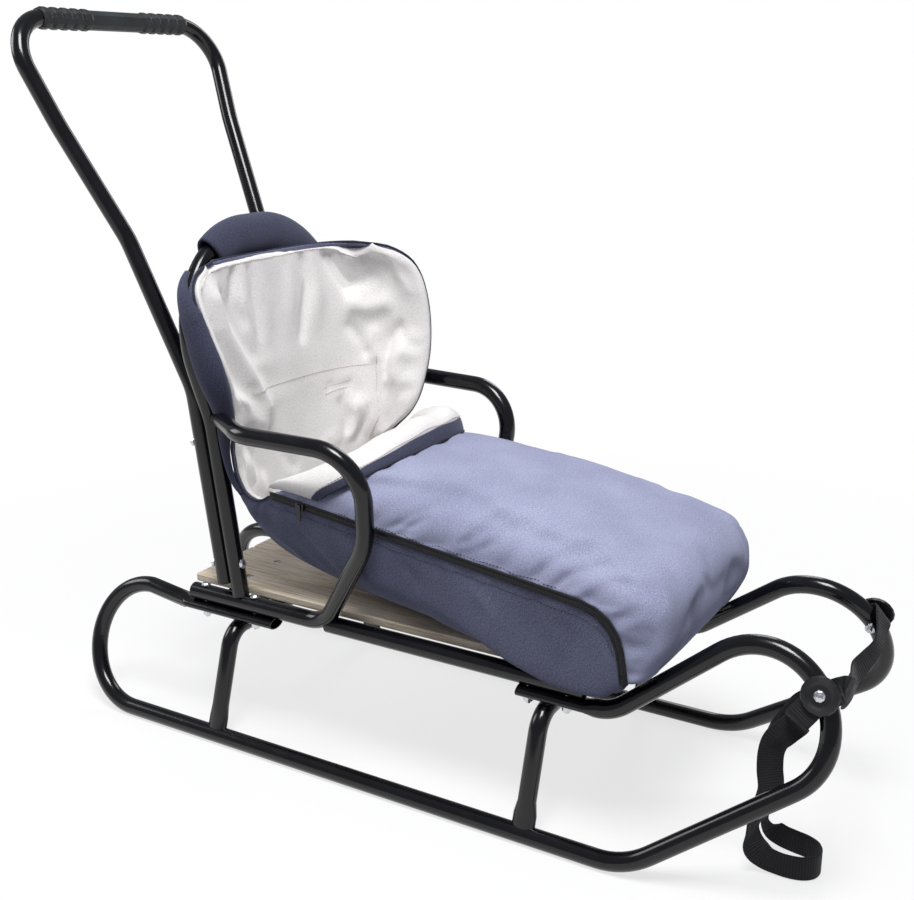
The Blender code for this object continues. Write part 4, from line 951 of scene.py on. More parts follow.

# %% [markdown]
# ## Puckers and folds
# A simulation gives fullness, but the photograph also shows folds in places of their own: small
# puckers where the zip gathers the cloth, soft folds down the back, a seam that pulls a valley.
# Each is a line over the grid with a height, a width and two ends. It is added to the front
# face along its normal, so it is real shape and not only shading.


# %% Shape a grid with lines
def distance_to(path, here):
    """Distance in metres from a point to a bent line, and the share along it."""
    best = (1e9, 0.0)
    lengths = [(b - a).length for a, b in zip(path, path[1:])]
    walked, whole = 0.0, sum(lengths)
    for a, b, length in zip(path, path[1:], lengths):
        t = clamp((here - a).dot(b - a) / max(length * length, 1e-12))
        gap = (here - a.lerp(b, t)).length
        if gap < best[0]:
            best = (gap, (walked + length * t) / whole)
        walked += length
    return best


def fold(grid, normals, line, height, width, fade=0.25):
    """Raise (or with a negative height sink) a soft ridge along a line of (row, column) shares."""
    rows, columns = len(grid) - 1, len(grid[0]) - 1
    corners = [grid[round(down * rows)][round(over * columns)] for down, over in line]
    out = []
    for row, directions in zip(grid, normals):
        out.append([])
        for point, normal in zip(row, directions):
            gap, share = distance_to(corners, point)
            if gap < width * 3.0:
                ends = clamp(min(share / fade, (1.0 - share) / fade))
                point = point + normal * (height * math.exp(-(gap / width) ** 2) * ends)
            out[-1].append(point)
    return out


def gathered(grid, normals, height, pitch, reach, seed):
    """Puckers square to the two long edges of a grid, that die out over reach."""
    across, down = face_map(grid)
    seam = 0.004                 # the puckers start this far from the seam
    out = []
    for i, row in enumerate(grid):
        phase = down[i] / pitch
        wave = (math.sin(phase * 6.283 + seed) + 0.6 * math.sin(phase * 10.9 + seed * 2.1)
                + 0.4 * math.sin(phase * 3.7 + seed * 0.7))
        out.append([])
        for k, point in enumerate(row):
            near = 0.0
            for gap in (across[i][k] - across[i][0], across[i][-1] - across[i][k]):
                near += (1.0 - math.exp(-gap / seam)) * math.exp(-gap / reach)
            out[-1].append(point + normals[i][k] * (height * wave * near))
    return out


print("fold helpers ready")

# %% [markdown]
# ## The outer shell
# The shell is the grey cloth below the zip, under the seat and up the back. It is sewn from a
# base and a back panel, and both stay on the sled when the apron opens, so one piece can stand
# for the two solids. The seat lies flat on the slats, the sides bulge a little, and the zip
# gathers their top edge.

# %% Sew the outer shell
CLOTH_T = 0.0040
LINING_GAP = 0.0006
LINING_T = 0.0070
SLAT_EDGE = 0.1312           # outside this, the cloth hangs free beside the seat
BODY_COLUMNS = 90
BODY_PACE = 0.0080
SHELL_FOLDS = (
    ([(0.56, 0.10), (0.50, 0.16), (0.46, 0.24)], 0.0030, 0.0060),
    ([(0.50, 0.06), (0.45, 0.12), (0.42, 0.20)], -0.0026, 0.0055),
    ([(0.40, 0.05), (0.36, 0.12), (0.35, 0.20)], 0.0026, 0.0060),
    ([(0.30, 0.04), (0.28, 0.10), (0.30, 0.18)], -0.0022, 0.0055),
    ([(0.20, 0.04), (0.17, 0.10), (0.18, 0.17)], 0.0024, 0.0060),
    ([(0.09, 0.04), (0.07, 0.09), (0.08, 0.16)], -0.0020, 0.0050),
    ([(0.50, 0.90), (0.46, 0.84), (0.44, 0.76)], 0.0026, 0.0060),
    ([(0.32, 0.94), (0.29, 0.88), (0.30, 0.80)], -0.0022, 0.0060),
)


def filled_row(s, columns):
    """The body's cross line, with the boxy bottom corners that its wadding gives it in front."""
    return body_row(s, columns, 4.5 * clamp((0.60 - s) / 0.35))


def hung(grid):
    """The sides sag below the seat where the slats end, as wadding does over an edge."""
    sag, clear = 0.0340, 0.0160
    out = []
    for row in grid:
        out.append([])
        for point in row:
            beyond = clamp((abs(point.x) - SLAT_EDGE) / 0.0040)
            front = clamp((0.0100 - point.y) / 0.1500)
            toe = clamp((point.y + 0.2830) / 0.0250)
            low = clamp((SLAT_TOP + 0.060 - point.z) / 0.060)
            lowest = min(point.z, SLAT_TOP - clear)
            out[-1].append(Vector((point.x, point.y,
                                   max(point.z - sag * beyond * front * low * toe, lowest))))
    return out


body_keys = even_keys(body_row, 0.0, BACK_TOP, BODY_PACE)
shell_grid = cross_lines(filled_row, body_keys, BODY_COLUMNS)
shell_normals = grid_normals(shell_grid)
shell_front = gathered(shell_grid, shell_normals, 0.0011, 0.036, 0.022, 0.4)
shell_front = hung(fold(shell_front, shell_normals, [(0.02, 0.17), (0.40, 0.15)], 0.0035, 0.020, 0.1))
for line, height, width in SHELL_FOLDS:
    shell_front = fold(shell_front, shell_normals, line, height, width)
shell_back = hung(offset(shell_grid, shell_normals, -CLOTH_T))
# The shell wears the darker side cloth: partly its own colour, partly painted shade.
shell = cloth_piece("outer_shell", shell_front, shell_back, side_cloth_dark_and_shaded)
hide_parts("muff_base", "muff_back")
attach(shell, "sled")
print("outer shell:", len(body_keys), "cross lines,", len(shell.data.polygons), "faces")

# %% [markdown]
# ## The fleece lining
# The lining lies inside the shell, thick and soft, and it shows from the front as the whole
# back. A seam crosses the small of the back, two more run down beside the seat, and the
# loose wings fold inward from the hoop. The simulation gives the slack, and the folds that the
# photograph shows are laid in after it.

# %% Sew the lining
LINING_DEPTH = CLOTH_T + LINING_GAP
lining_keys = even_keys(body_row, 0.16, 2.46, 0.0075)
under = cross_lines(body_row, lining_keys, 62)
under_normals = grid_normals(under)
lining_back = offset(under, under_normals, -LINING_DEPTH)
lining_top = offset(under, under_normals, -(LINING_DEPTH + LINING_T))
inward = [[-n for n in row] for row in under_normals]
last_row, last_column = len(lining_top) - 1, len(lining_top[0]) - 1


def row_at(key):
    """The lining's row that lies nearest to a key of the body line."""
    return min(range(len(lining_keys)), key=lambda i: abs(lining_keys[i] - key))


back_seam_row = row_at(1.40)
lining_top = settle("lining", lining_top,
                    lambda i, k: i in (0, last_row, back_seam_row) or k in (0, last_column),
                    0.035, -0.9, (0.009, 0.0))
print("lining:", len(lining_keys), "cross lines, seam on row", back_seam_row)

# %% [markdown]
# ## Folds of the lining
# Each line below is one fold that the photograph shows: its corners as shares down and across
# the grid, its height, its half width, and the share of its length over which it fades out. The
# last row and the two side edges are then turned outward over the rim of the shell.


# %% Lay the folds into the lining
LINING_FOLDS = (
    # seam across the small of the back, with a soft roll above and below it
    ([(0.822, 0.18), (0.822, 0.80)], 0.0060, 0.0100, 0.12),
    ([(0.796, 0.14), (0.796, 0.80)], -0.0070, 0.0028, 0.04),
    ([(0.765, 0.18), (0.765, 0.74)], 0.0030, 0.0090, 0.12),
    # the near wing folds over: a fat bright ridge with a valley inside it
    ([(0.975, 0.060), (0.889, 0.130), (0.833, 0.180), (0.778, 0.190), (0.735, 0.230)],
     0.0150, 0.0130, 0.12),
    ([(0.955, 0.130), (0.889, 0.205), (0.833, 0.250), (0.800, 0.262)], -0.0075, 0.0052, 0.12),
    ([(0.905, 0.020), (0.850, 0.090), (0.800, 0.110), (0.755, 0.190)], -0.0050, 0.0060, 0.15),
    ([(0.790, 0.030), (0.750, 0.110), (0.722, 0.220)], 0.0080, 0.0110, 0.15),
    # soft folds that hang from the top
    ([(0.995, 0.200), (0.930, 0.215), (0.880, 0.262)], -0.0060, 0.0045, 0.15),
    ([(0.995, 0.274), (0.917, 0.303), (0.850, 0.306)], -0.0052, 0.0036, 0.15),
    ([(0.995, 0.235), (0.920, 0.262), (0.850, 0.285)], 0.0050, 0.0070, 0.40),
    ([(0.995, 0.330), (0.905, 0.350), (0.840, 0.345)], 0.0040, 0.0080, 0.40),
    ([(0.995, 0.590), (0.930, 0.560), (0.870, 0.510), (0.835, 0.480)], -0.0068, 0.0050, 0.12),
    ([(0.990, 0.520), (0.905, 0.470), (0.840, 0.430)], 0.0050, 0.0110, 0.40),
    ([(0.990, 0.650), (0.910, 0.600), (0.840, 0.570)], 0.0055, 0.0110, 0.40),
    # the far wing is hollow where it turns forward, and creased below that
    ([(0.985, 0.715), (0.940, 0.700), (0.905, 0.720)], -0.0110, 0.0080, 0.15),
    ([(0.905, 0.700), (0.915, 0.780), (0.935, 0.860)], -0.0090, 0.0070, 0.15),
    ([(0.975, 0.780), (0.950, 0.800)], 0.0100, 0.0120, 0.10),
    ([(0.890, 0.700), (0.880, 0.780), (0.890, 0.880)], 0.0090, 0.0100, 0.15),
    ([(0.860, 0.690), (0.830, 0.740), (0.800, 0.780)], -0.0062, 0.0050, 0.12),
    ([(0.850, 0.800), (0.820, 0.790), (0.790, 0.800)], 0.0060, 0.0070, 0.15),
    ([(0.862, 0.915), (0.835, 0.865), (0.800, 0.850), (0.760, 0.850)], -0.0085, 0.0050, 0.12),
    ([(0.850, 0.960), (0.800, 0.910), (0.750, 0.900)], 0.0060, 0.0090, 0.15),
    # two seams side by side run down to the seat, the same on the near side
    ([(0.800, 0.822), (0.741, 0.826), (0.694, 0.871), (0.640, 0.90)], -0.0050, 0.0024, 0.08),
    ([(0.800, 0.850), (0.741, 0.854), (0.694, 0.899), (0.640, 0.93)], -0.0050, 0.0024, 0.08),
    ([(0.740, 0.180), (0.694, 0.129), (0.640, 0.10)], -0.0050, 0.0024, 0.08),
    # a buttonhole for a harness strap
    ([(0.755, 0.560), (0.759, 0.710)], -0.0050, 0.0018, 0.05),
    # slack between the back and the thighs
    ([(0.740, 0.640), (0.705, 0.690), (0.680, 0.720)], -0.0060, 0.0060, 0.15),
    ([(0.735, 0.720), (0.700, 0.745), (0.670, 0.760)], 0.0060, 0.0070, 0.15),
    ([(0.725, 0.790), (0.690, 0.800), (0.660, 0.790)], -0.0050, 0.0050, 0.15),
    ([(0.715, 0.250), (0.680, 0.330), (0.650, 0.430)], -0.0055, 0.0060, 0.15),
    ([(0.741, 0.040), (0.700, 0.110), (0.660, 0.190)], -0.0055, 0.0055, 0.15),
    ([(0.700, 0.050), (0.660, 0.120), (0.630, 0.220)], 0.0065, 0.0090, 0.15),
)
for line, height, width, fade in LINING_FOLDS:
    lining_top = fold(lining_top, inward, line, height, width, fade)


def over_rim(grid, outward, free_from, amount, depth):
    """Turn the face over the rim of the cloth behind it, along the open edges."""
    grid = [list(row) for row in grid]
    for row, directions in list(zip(grid, outward))[free_from:]:
        for edge, inner in ((0, 1), (-1, -2)):
            step = (row[edge] - row[inner]).normalized()
            row[inner] = row[edge] + step * (amount * 0.7)
            row[edge] = row[edge] + step * amount + directions[edge] * depth
    for k in range(len(grid[0])):
        step = (grid[-1][k] - grid[-2][k]).normalized()
        grid[-2][k] = grid[-1][k] + step * (amount * 0.7)
        grid[-1][k] = grid[-1][k] + step * amount + outward[-1][k] * depth
    return grid


lining_top = over_rim(lining_top, under_normals, row_at(1.15), 0.0034, 0.0095)
lining = cloth_piece("fleece_lining", lining_top, lining_back, fleece)
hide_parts("muff_lining")
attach(lining, "sled")
print("lining faces:", len(lining.data.polygons))

# %% [markdown]
# ## Stitches
# A seam shows as a row of short threads, each about 3 mm long, that lie on the cloth and dip in
# at both ends. A stitch is a small wedge here, since it is seen from a metre away. The rows follow
# the same shares of the grid as the folds, so they lie in their valleys.


# %% Sew rows of stitches
def grid_line(grid, corners, pace):
    """Points at an even pace on a grid, along a bent line of (row, column) shares."""
    rows, columns = len(grid) - 1, len(grid[0]) - 1
    fine = []
    for (r0, c0), (r1, c1) in zip(corners, corners[1:]):
        for k in range(40):
            r, c = (r0 + (r1 - r0) * k / 40) * rows, (c0 + (c1 - c0) * k / 40) * columns
            i, j = min(rows - 1, int(r)), min(columns - 1, int(c))
            low = grid[i][j].lerp(grid[i][j + 1], c - j)
            high = grid[i + 1][j].lerp(grid[i + 1][j + 1], c - j)
            fine.append(low.lerp(high, r - i))
    count = int(sum((b - a).length for a, b in zip(fine, fine[1:])) / pace)
    return [along(fine, k / max(1, count)) for k in range(count)]


STITCH_PACE = 0.0040
STITCH_LIFT = 0.0006
STITCH_HALF = 0.00045        # half the thread's width


def stitches(name, grid, direction, lines, material, ride):
    """Small threads on a grid. direction is 1 for the outward face, -1 for the inward one."""
    normals = grid_normals(grid)
    coarse = [(i, k) for i in range(0, len(grid), 2) for k in range(0, len(grid[0]), 2)]
    bm = bmesh.new()
    spots = [spot for corners in lines for spot in grid_line(grid, corners, STITCH_PACE)]
    for point, run in spots:
        i, k = min(coarse, key=lambda at: (grid[at[0]][at[1]] - point).length_squared)
        up = normals[i][k] * direction
        run = (run - up * run.dot(up)).normalized()
        side = run.cross(up)
        half = run * (STITCH_PACE * 0.34)
        middle = point + up * STITCH_LIFT
        rings = []
        for spot, rise in ((middle - half, 0.0), (middle, STITCH_HALF), (middle + half, 0.0)):
            rings.append([bm.verts.new(spot + side * STITCH_HALF - up * STITCH_HALF),
                          bm.verts.new(spot + up * rise),
                          bm.verts.new(spot - side * STITCH_HALF - up * STITCH_HALF)])
        skin(bm, rings)
        bm.faces.new(rings[0])
        bm.faces.new(rings[-1][::-1])
    piece = new_piece(name, bm, material, smooth=False)
    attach(piece, ride)
    return len(spots)


cream_thread = moulded("cream_thread", "#b9ada0", "#d8cfc4", 0.55, 0.5, 0.00002)
grey_thread = moulded("grey_thread", "#2b2c3a", "#44465a", 0.55, 0.5, 0.00002)
LINING_STITCHES = ([(0.787, 0.16), (0.787, 0.80)],
                   [(0.760, 0.565), (0.764, 0.705)], [(0.750, 0.565), (0.754, 0.705)],
                   [(0.800, 0.811), (0.741, 0.815), (0.694, 0.860), (0.640, 0.89)],
                   [(0.985, 0.06), (0.985, 0.50), (0.985, 0.94)])
print("lining stitches:", stitches("lining_stitches", lining_top, -1, LINING_STITCHES,
                                   cream_thread, "sled"))


# %% [markdown]
# ## The apron
# The apron closes the bag over the child's legs and goes on round the toe. In the model it is
# two solids, because its free part swings open on the toe, but it is sewn as one cloth. Here it
# is one piece too. It is the puffiest panel, held short by the zip on both sides.

# %% Sew the apron
APRON_T = 0.0060
APRON_FOLDS = (
    # wadding that has slid down into the toe, fullest at its two upper corners
    ([(0.82, 0.10), (0.82, 0.90)], 0.0075, 0.0300),
    ([(0.80, 0.06), (0.83, 0.24)], 0.0055, 0.0220),
    ([(0.80, 0.76), (0.83, 0.94)], 0.0055, 0.0220),
    # slack that runs in from the zip
    ([(0.24, 0.03), (0.22, 0.16), (0.25, 0.30)], 0.0024, 0.0065),
    ([(0.29, 0.03), (0.29, 0.14), (0.34, 0.26)], -0.0026, 0.0060),
    ([(0.42, 0.03), (0.41, 0.14), (0.45, 0.25)], 0.0026, 0.0065),
    ([(0.47, 0.03), (0.48, 0.15), (0.53, 0.24)], -0.0026, 0.0060),
    ([(0.61, 0.03), (0.59, 0.13), (0.62, 0.24)], 0.0028, 0.0065),
    ([(0.67, 0.03), (0.67, 0.12), (0.71, 0.20)], -0.0028, 0.0060),
    ([(0.36, 0.97), (0.35, 0.86), (0.38, 0.74)], 0.0024, 0.0065),
    ([(0.55, 0.97), (0.53, 0.86), (0.57, 0.76)], -0.0024, 0.0065),
    # sharp little puckers where the zip holds the cloth short
    ([(0.270, 0.02), (0.262, 0.07), (0.280, 0.13)], -0.0050, 0.0030),
    ([(0.300, 0.02), (0.296, 0.06), (0.315, 0.11)], -0.0044, 0.0026),
    ([(0.430, 0.02), (0.424, 0.07), (0.445, 0.14)], -0.0050, 0.0030),
    ([(0.465, 0.02), (0.462, 0.06), (0.480, 0.10)], -0.0040, 0.0026),
    ([(0.600, 0.02), (0.592, 0.07), (0.612, 0.13)], -0.0050, 0.0030),
    ([(0.650, 0.02), (0.650, 0.07), (0.672, 0.12)], -0.0050, 0.0028),
    ([(0.350, 0.98), (0.342, 0.93), (0.360, 0.87)], -0.0046, 0.0030),
    ([(0.530, 0.98), (0.524, 0.93), (0.545, 0.86)], -0.0046, 0.0030),
    # the toe is creased below its upper left corner
    ([(0.780, 0.88), (0.820, 0.84), (0.850, 0.86)], -0.0050, 0.0040),
    ([(0.800, 0.78), (0.840, 0.80), (0.880, 0.78)], -0.0044, 0.0050),
    ([(0.760, 0.12), (0.800, 0.16), (0.850, 0.14)], -0.0040, 0.0050),
    # the face of the toe hangs in two shallow folds
    ([(0.86, 0.30), (0.93, 0.34), (0.98, 0.30)], -0.0035, 0.0120),
    ([(0.86, 0.66), (0.93, 0.62), (0.98, 0.68)], -0.0035, 0.0120),
)
APRON_COLUMNS = 60
apron_keys = even_keys(apron_row, 0.0, 1.0, 0.0065)
apron_grid = cross_lines(apron_row, apron_keys, APRON_COLUMNS)
apron_normals = grid_normals(apron_grid)
apron_back = offset(apron_grid, apron_normals, -APRON_T)
apron_edge = len(apron_grid) - 1
apron_front = settle("apron", apron_grid,
                     lambda i, k: i in (0, apron_edge) or k in (0, APRON_COLUMNS), 0.030, 0.8,
                     (0.002, 0.006))
apron_front = gathered(apron_front, apron_normals, 0.0019, 0.036, 0.026, 1.3)
for line, height, width in APRON_FOLDS:
    apron_front = fold(apron_front, apron_normals, line, height, width, 0.30)
apron = cloth_piece("apron_and_toe", apron_front, apron_back, cloth_grey)
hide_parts("muff_apron", "muff_foot")
print("apron:", len(apron_keys), "cross lines,", len(apron.data.polygons), "faces")

# %% Stitch beside the zip
APRON_STITCHES = [[(down, over) for down in (0.14, 0.40, 0.66)] for over in (0.018, 0.982)]
SHELL_STITCHES = [[(down, over) for down in (0.02, 0.30, 0.55)] for over in (0.028, 0.972)]
SHELL_STITCHES.append([(0.655, 0.05), (0.655, 0.50), (0.655, 0.95)])
print("apron stitches:", stitches("apron_stitches", apron_front, 1, APRON_STITCHES, grey_thread,
                                  "apron"))
print("shell stitches:", stitches("shell_stitches", shell_front, 1, SHELL_STITCHES, grey_thread,
                                  "sled"))


# %% [markdown]
# ## The collar
# At the opening the apron is turned back: the fleece comes over the edge as a soft fat hem, and
# the grey cloth makes a narrow roll in front of it. Both go with the apron when it opens.

# %% Turn the collar back
def collar_height(share):
    """Height of the turned-back collar across the apron: low at the right, full at the left."""
    rise = clamp((share - 0.02) / 0.60)
    return 0.0110 + 0.0200 * rise * rise * (3.0 - 2.0 * rise)


def collar_row(share):
    """A cross line of the apron without its ends, which lie under the zips."""
    return respaced(apron_row(share, 150)[2:-7], APRON_COLUMNS)


def collar_piece(name, around, material, wobble):
    """A strip of the collar's roll. around holds (share of the zip, share of the height) pairs."""
    normals = grid_normals([collar_row(s) for s in steps(0.0, 0.10, 6)])[2]
    outside, inside = [], []
    for i, (s, height) in enumerate(around):
        row = collar_row(max(0.0, s))
        if s < 0.0:
            row = [p + Vector((0.0, -s * zip_length, -s * 0.05)) for p in row]
        outside.append([])
        inside.append([])
        for k, (point, normal) in enumerate(zip(row, normals)):
            lift = (normal * 0.35 + Vector((0.0, 0.0, 1.0)) * 0.65).normalized()
            lump = 1.0 + wobble * math.sin(k * 0.55 + i * 0.3) + wobble * math.sin(k * 0.23 + 1.7)
            end = min(1.0, (min(k, APRON_COLUMNS - k) + 0.6) / 3.0) ** 0.5
            tall = collar_height(k / APRON_COLUMNS) * height * lump * end
            seat = LINING_GAP + 0.0008 + 0.0052 * clamp(s / 0.10) * end
            outside[-1].append(point + lift * (seat + tall))
            inside[-1].append(point + lift * (seat - 0.0004 + max(0.0, tall - 0.0040) * 0.8))
    return cloth_piece(name, outside, inside, material), outside


HEM_ROLL = [(-0.010, 0.02), (-0.022, 0.22), (-0.028, 0.46), (-0.024, 0.68), (-0.010, 0.86),
            (0.008, 0.96), (0.028, 1.00), (0.052, 0.97), (0.074, 0.88), (0.090, 0.74),
            (0.098, 0.60), (0.102, 0.50)]
FRONT_ROLL = [(0.099, 0.55), (0.105, 0.46), (0.110, 0.34), (0.114, 0.22), (0.117, 0.10),
              (0.118, 0.00)]
fleece_hem, hem_face = collar_piece("fleece_hem", HEM_ROLL, fleece, 0.05)
# The grey roll is drawn in the grey cloth darkened as painted shade.
grey_roll, roll_face = collar_piece("grey_roll", FRONT_ROLL, cloth_painted_shade, 0.02)
print("hem stitches:", stitches("hem_stitches", hem_face, 1,
                                ([(0.93, 0.03), (0.93, 0.5), (0.93, 0.97)],), cream_thread, "apron"))
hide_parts("apron_collar")
for piece, fill in ((fleece_hem, 0.6), (grey_roll, 0.5)):
    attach(piece, "apron")
print("collar:", fleece_hem.name, grey_roll.name)

# %% [markdown]
# ## Piping and side rolls
# A bound edge is a thin tube of cloth over a cord. It runs along the zip, and round the whole
# edge of the back. On the right side, where the wing has fallen open, its padded edge shows
# beyond the fleece as a wider grey band that fills the space up to the post.


# %% Sweep a round or flat roll along a line
def loft(name, rings, material, smooth=True):
    """A closed solid through rings of (point, place on the cloth)."""
    bm = bmesh.new()
    bm.loops.layers.uv.new("real_metres")
    made, where = [], {}
    for ring in rings:
        made.append([bm.verts.new(point) for point, _ in ring])
        where.update(zip(made[-1], [place for _, place in ring]))
    skin(bm, made)
    bm.faces.new(made[0][::-1])
    bm.faces.new(made[-1])
    return new_piece(name, bm, material, smooth, where)


def sweep(name, path, radii, material, sides=10, flat=(1.0, 1.0), hint=(1.0, 0.0, 0.0)):
    """A closed roll along a path. radii is one number, or one for each point of the path."""
    turns = [2.0 * math.pi * k / sides for k in range(sides)]
    rings = []
    for i, (here, walked) in enumerate(zip(path, walked_along(path))):
        run = heading(path, i)
        side = (Vector(hint) - run * run.dot(Vector(hint))).normalized()
        other = run.cross(side)
        size = radii[i] if isinstance(radii, list) else radii
        rings.append([(here + side * (math.cos(turn) * size * flat[0])
                       + other * (math.sin(turn) * size * flat[1]), (turn * size, walked))
                      for turn in turns])
    return loft(name, rings, material)


def edge_line(side, low, high):
    """Points on one edge of the back."""
    return [body_edges(s)[0 if side < 0 else 1][0] for s in steps(low, high, 60)]


top_line = cross_lines(body_row, [BACK_TOP], 60)[0]
binding = (edge_line(-1, 1.0, BACK_TOP)[:-1] + top_line + edge_line(1, 1.0, BACK_TOP)[::-1][1:])
edge_piping = sweep("edge_piping", binding, 0.0013, piping_grey, 8)
wing_roll_path, roll_sizes = [], []
for k, edge in enumerate(edge_line(-1, 1.30, 2.42)):
    post = hoop_y(edge.z) - TUBE_R - 0.0012
    taper = min(1.0, (k + 1) / 26.0, (64 - k) / 16.0) ** 0.7
    roll_sizes.append(max(0.0030, ((post - edge.y) / 2.0 + 0.0015) * taper))
    middle = post - roll_sizes[-1] if k >= 22 else edge.y + 0.0020 + roll_sizes[-1]
    wing_roll_path.append(Vector((edge.x - 0.0015, middle, edge.z)))
# The wing roll is drawn in the grey cloth darkened as painted shade.
wing_roll = sweep("right_wing_roll", wing_roll_path, roll_sizes, cloth_painted_shade, 14, (0.55, 1.0))
for piece in (edge_piping, wing_roll):
    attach(piece, "sled")
roll_edge = sweep("roll_piping", roll_face[-1][1:-1], 0.0014, piping_grey, 8, hint=(0.0, 1.0, 0.2))
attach(roll_edge, "apron")
print("piping length", round(walked_along(binding)[-1], 2), "m")

# %% [markdown]
# ## The zip
# The tape is a solid of the model. The teeth are a spiral of nylon wire, sewn along its middle,
# so they are small blocks along the zip line, 1.8 mm apart. A thin lip of cloth covers the tape
# above and below them.


# %% Lay the zip teeth
TOOTH_PITCH = 0.0018
TEETH_FROM, TEETH_SHARE = 0.006, 0.975   # where the teeth start, and how much of the zip they fill


def zip_teeth(name, side):
    count = int(zip_length * TEETH_SHARE / TOOTH_PITCH)
    bm = bmesh.new()
    for k in range(count):
        point, run = along(zip_line, TEETH_FROM + TEETH_SHARE * k / count)
        across = Vector((0.0, run.z, -run.y)).normalized()
        middle = Vector((side * (point.x + 0.0016), point.y, point.z))
        half_run, half_across = run * 0.00055, across * 0.0019
        if side < 0:
            half_run = mirrored(half_run)
        rise = Vector((side * 0.0006, 0.0, 0.0))
        corners = [middle + a * half_run + b * half_across for a, b in
                   ((-1, -1), (1, -1), (1, 1), (-1, 1))]
        low = [bm.verts.new(p - rise * 0.5) for p in corners]
        high = [bm.verts.new(p + rise * 0.8 + (middle - p) * 0.18) for p in corners]
        skin(bm, (low, high))
        bm.faces.new(high)
        bm.faces.new(low[::-1])
    piece = new_piece(name, bm, nylon, smooth=False)
    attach(piece, "sled")
    return count


print("zip teeth:", zip_teeth("zip_teeth_right", -1) + zip_teeth("zip_teeth_left", 1))
for label, side in (("right", -1), ("left", 1)):
    for part, lift in (("upper", 0.0031), ("lower", -0.0031)):
        line = [zip_point(share, lift) + Vector((0.0010, 0.0, 0.0)) for share in steps(0.0, 0.985, 90)]
        line = [Vector((side * p.x, p.y, p.z)) for p in line]
        lip = sweep("zip_lip_" + part + "_" + label, line, 0.0014, tape, 8)
        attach(lip, "sled")
print("zip lips: 4, along", round(zip_length * 985), "mm of zip")

# %% [markdown]
# ## The sleeve on the hoop
# A flat sleeve of the grey cloth hangs the back from the top of the hoop. It is a loop of cloth
# over a 20 mm tube, so it is round above the tube, hangs below it, and creases where the hoop
# curves down. Its ends are open and hemmed.

# %% Sew the sleeve
POCKET_SPAN = (-0.0800, 0.1220)
POCKET_HALF_UP = 0.0270
POCKET_HALF_DEEP = 0.0152
POCKET_T = 0.0030
POCKET_DROP = 0.0080
SLEEVE_TURNS = [2.0 * math.pi * k / 40 for k in range(40)]


def hoop_between(low, high, count):
    """Points on the upper part of the hoop at even x steps."""
    crest = sorted((p for p in hoop_line if p.z > HOOP_TOP[0] - HOOP_TOP[1]), key=lambda p: p.x)
    points = []
    for x in steps(low, high, count):
        for a, b in zip(crest, crest[1:]):
            if a.x <= x <= b.x:
                points.append(a.lerp(b, (x - a.x) / (b.x - a.x)))
                break
    return points


covered = hoop_between(*POCKET_SPAN, 44)


def sleeve_rings(shrink, ripple):
    """Flat ovals round the hoop. shrink makes them smaller, ripple creases their sides."""
    rings = []
    for i, here in enumerate(covered):
        run = heading(covered, i)
        down = Vector((-here.x * 0.5, 0.0, HOOP_TOP[0] - HOOP_TOP[1] * 2.2 - here.z))
        down = (down - run * down.dot(run)).normalized()
        across = run.cross(down)
        centre = here + down * POCKET_DROP
        rings.append([])
        for turn in SLEEVE_TURNS:
            crease = 1.0 + ripple * math.sin(i * 0.42 + 0.8 * math.sin(turn)) * abs(math.cos(turn))
            rings[-1].append(centre + across * (math.cos(turn) * (POCKET_HALF_DEEP - shrink) * crease)
                             + down * (math.sin(turn) * (POCKET_HALF_UP - shrink)))
    return rings


def sleeve_piece():
    """Two layers of rings, joined at both open ends."""
    outer, inner = sleeve_rings(0.0, 0.05), sleeve_rings(POCKET_T, 0.0)
    lengths = face_map([[*ring, ring[0]] for ring in outer])
    bm = bmesh.new()
    bm.loops.layers.uv.new("real_metres")
    where = {}
    sheets = [cloth_sheet(bm, rings, lengths, where) for rings in (outer, inner)]
    for rings in (*sheets, (sheets[0][0], sheets[1][0]), (sheets[0][-1], sheets[1][-1])):
        skin(bm, rings)
    # The sleeve is drawn in the grey cloth darkened as painted shade.
    return new_piece("hoop_sleeve", bm, cloth_painted_shade, where=where)


sleeve = sleeve_piece()
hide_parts("muff_pocket")
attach(sleeve, "sled")
print("sleeve length", round(walked_along(covered)[-1] * 1000), "mm")

# %% [markdown]
# ## The pull strap
# One length of 26 mm webbing is bolted to both noses. From the right washer it hangs to the
# ground, lies there in a loop on its edge, comes back up to the same bolt, and sags across to
# the left nose. It is limp and flat, so it is a ribbon along a route, with a direction for its
# face at each point. The route is the model's own.

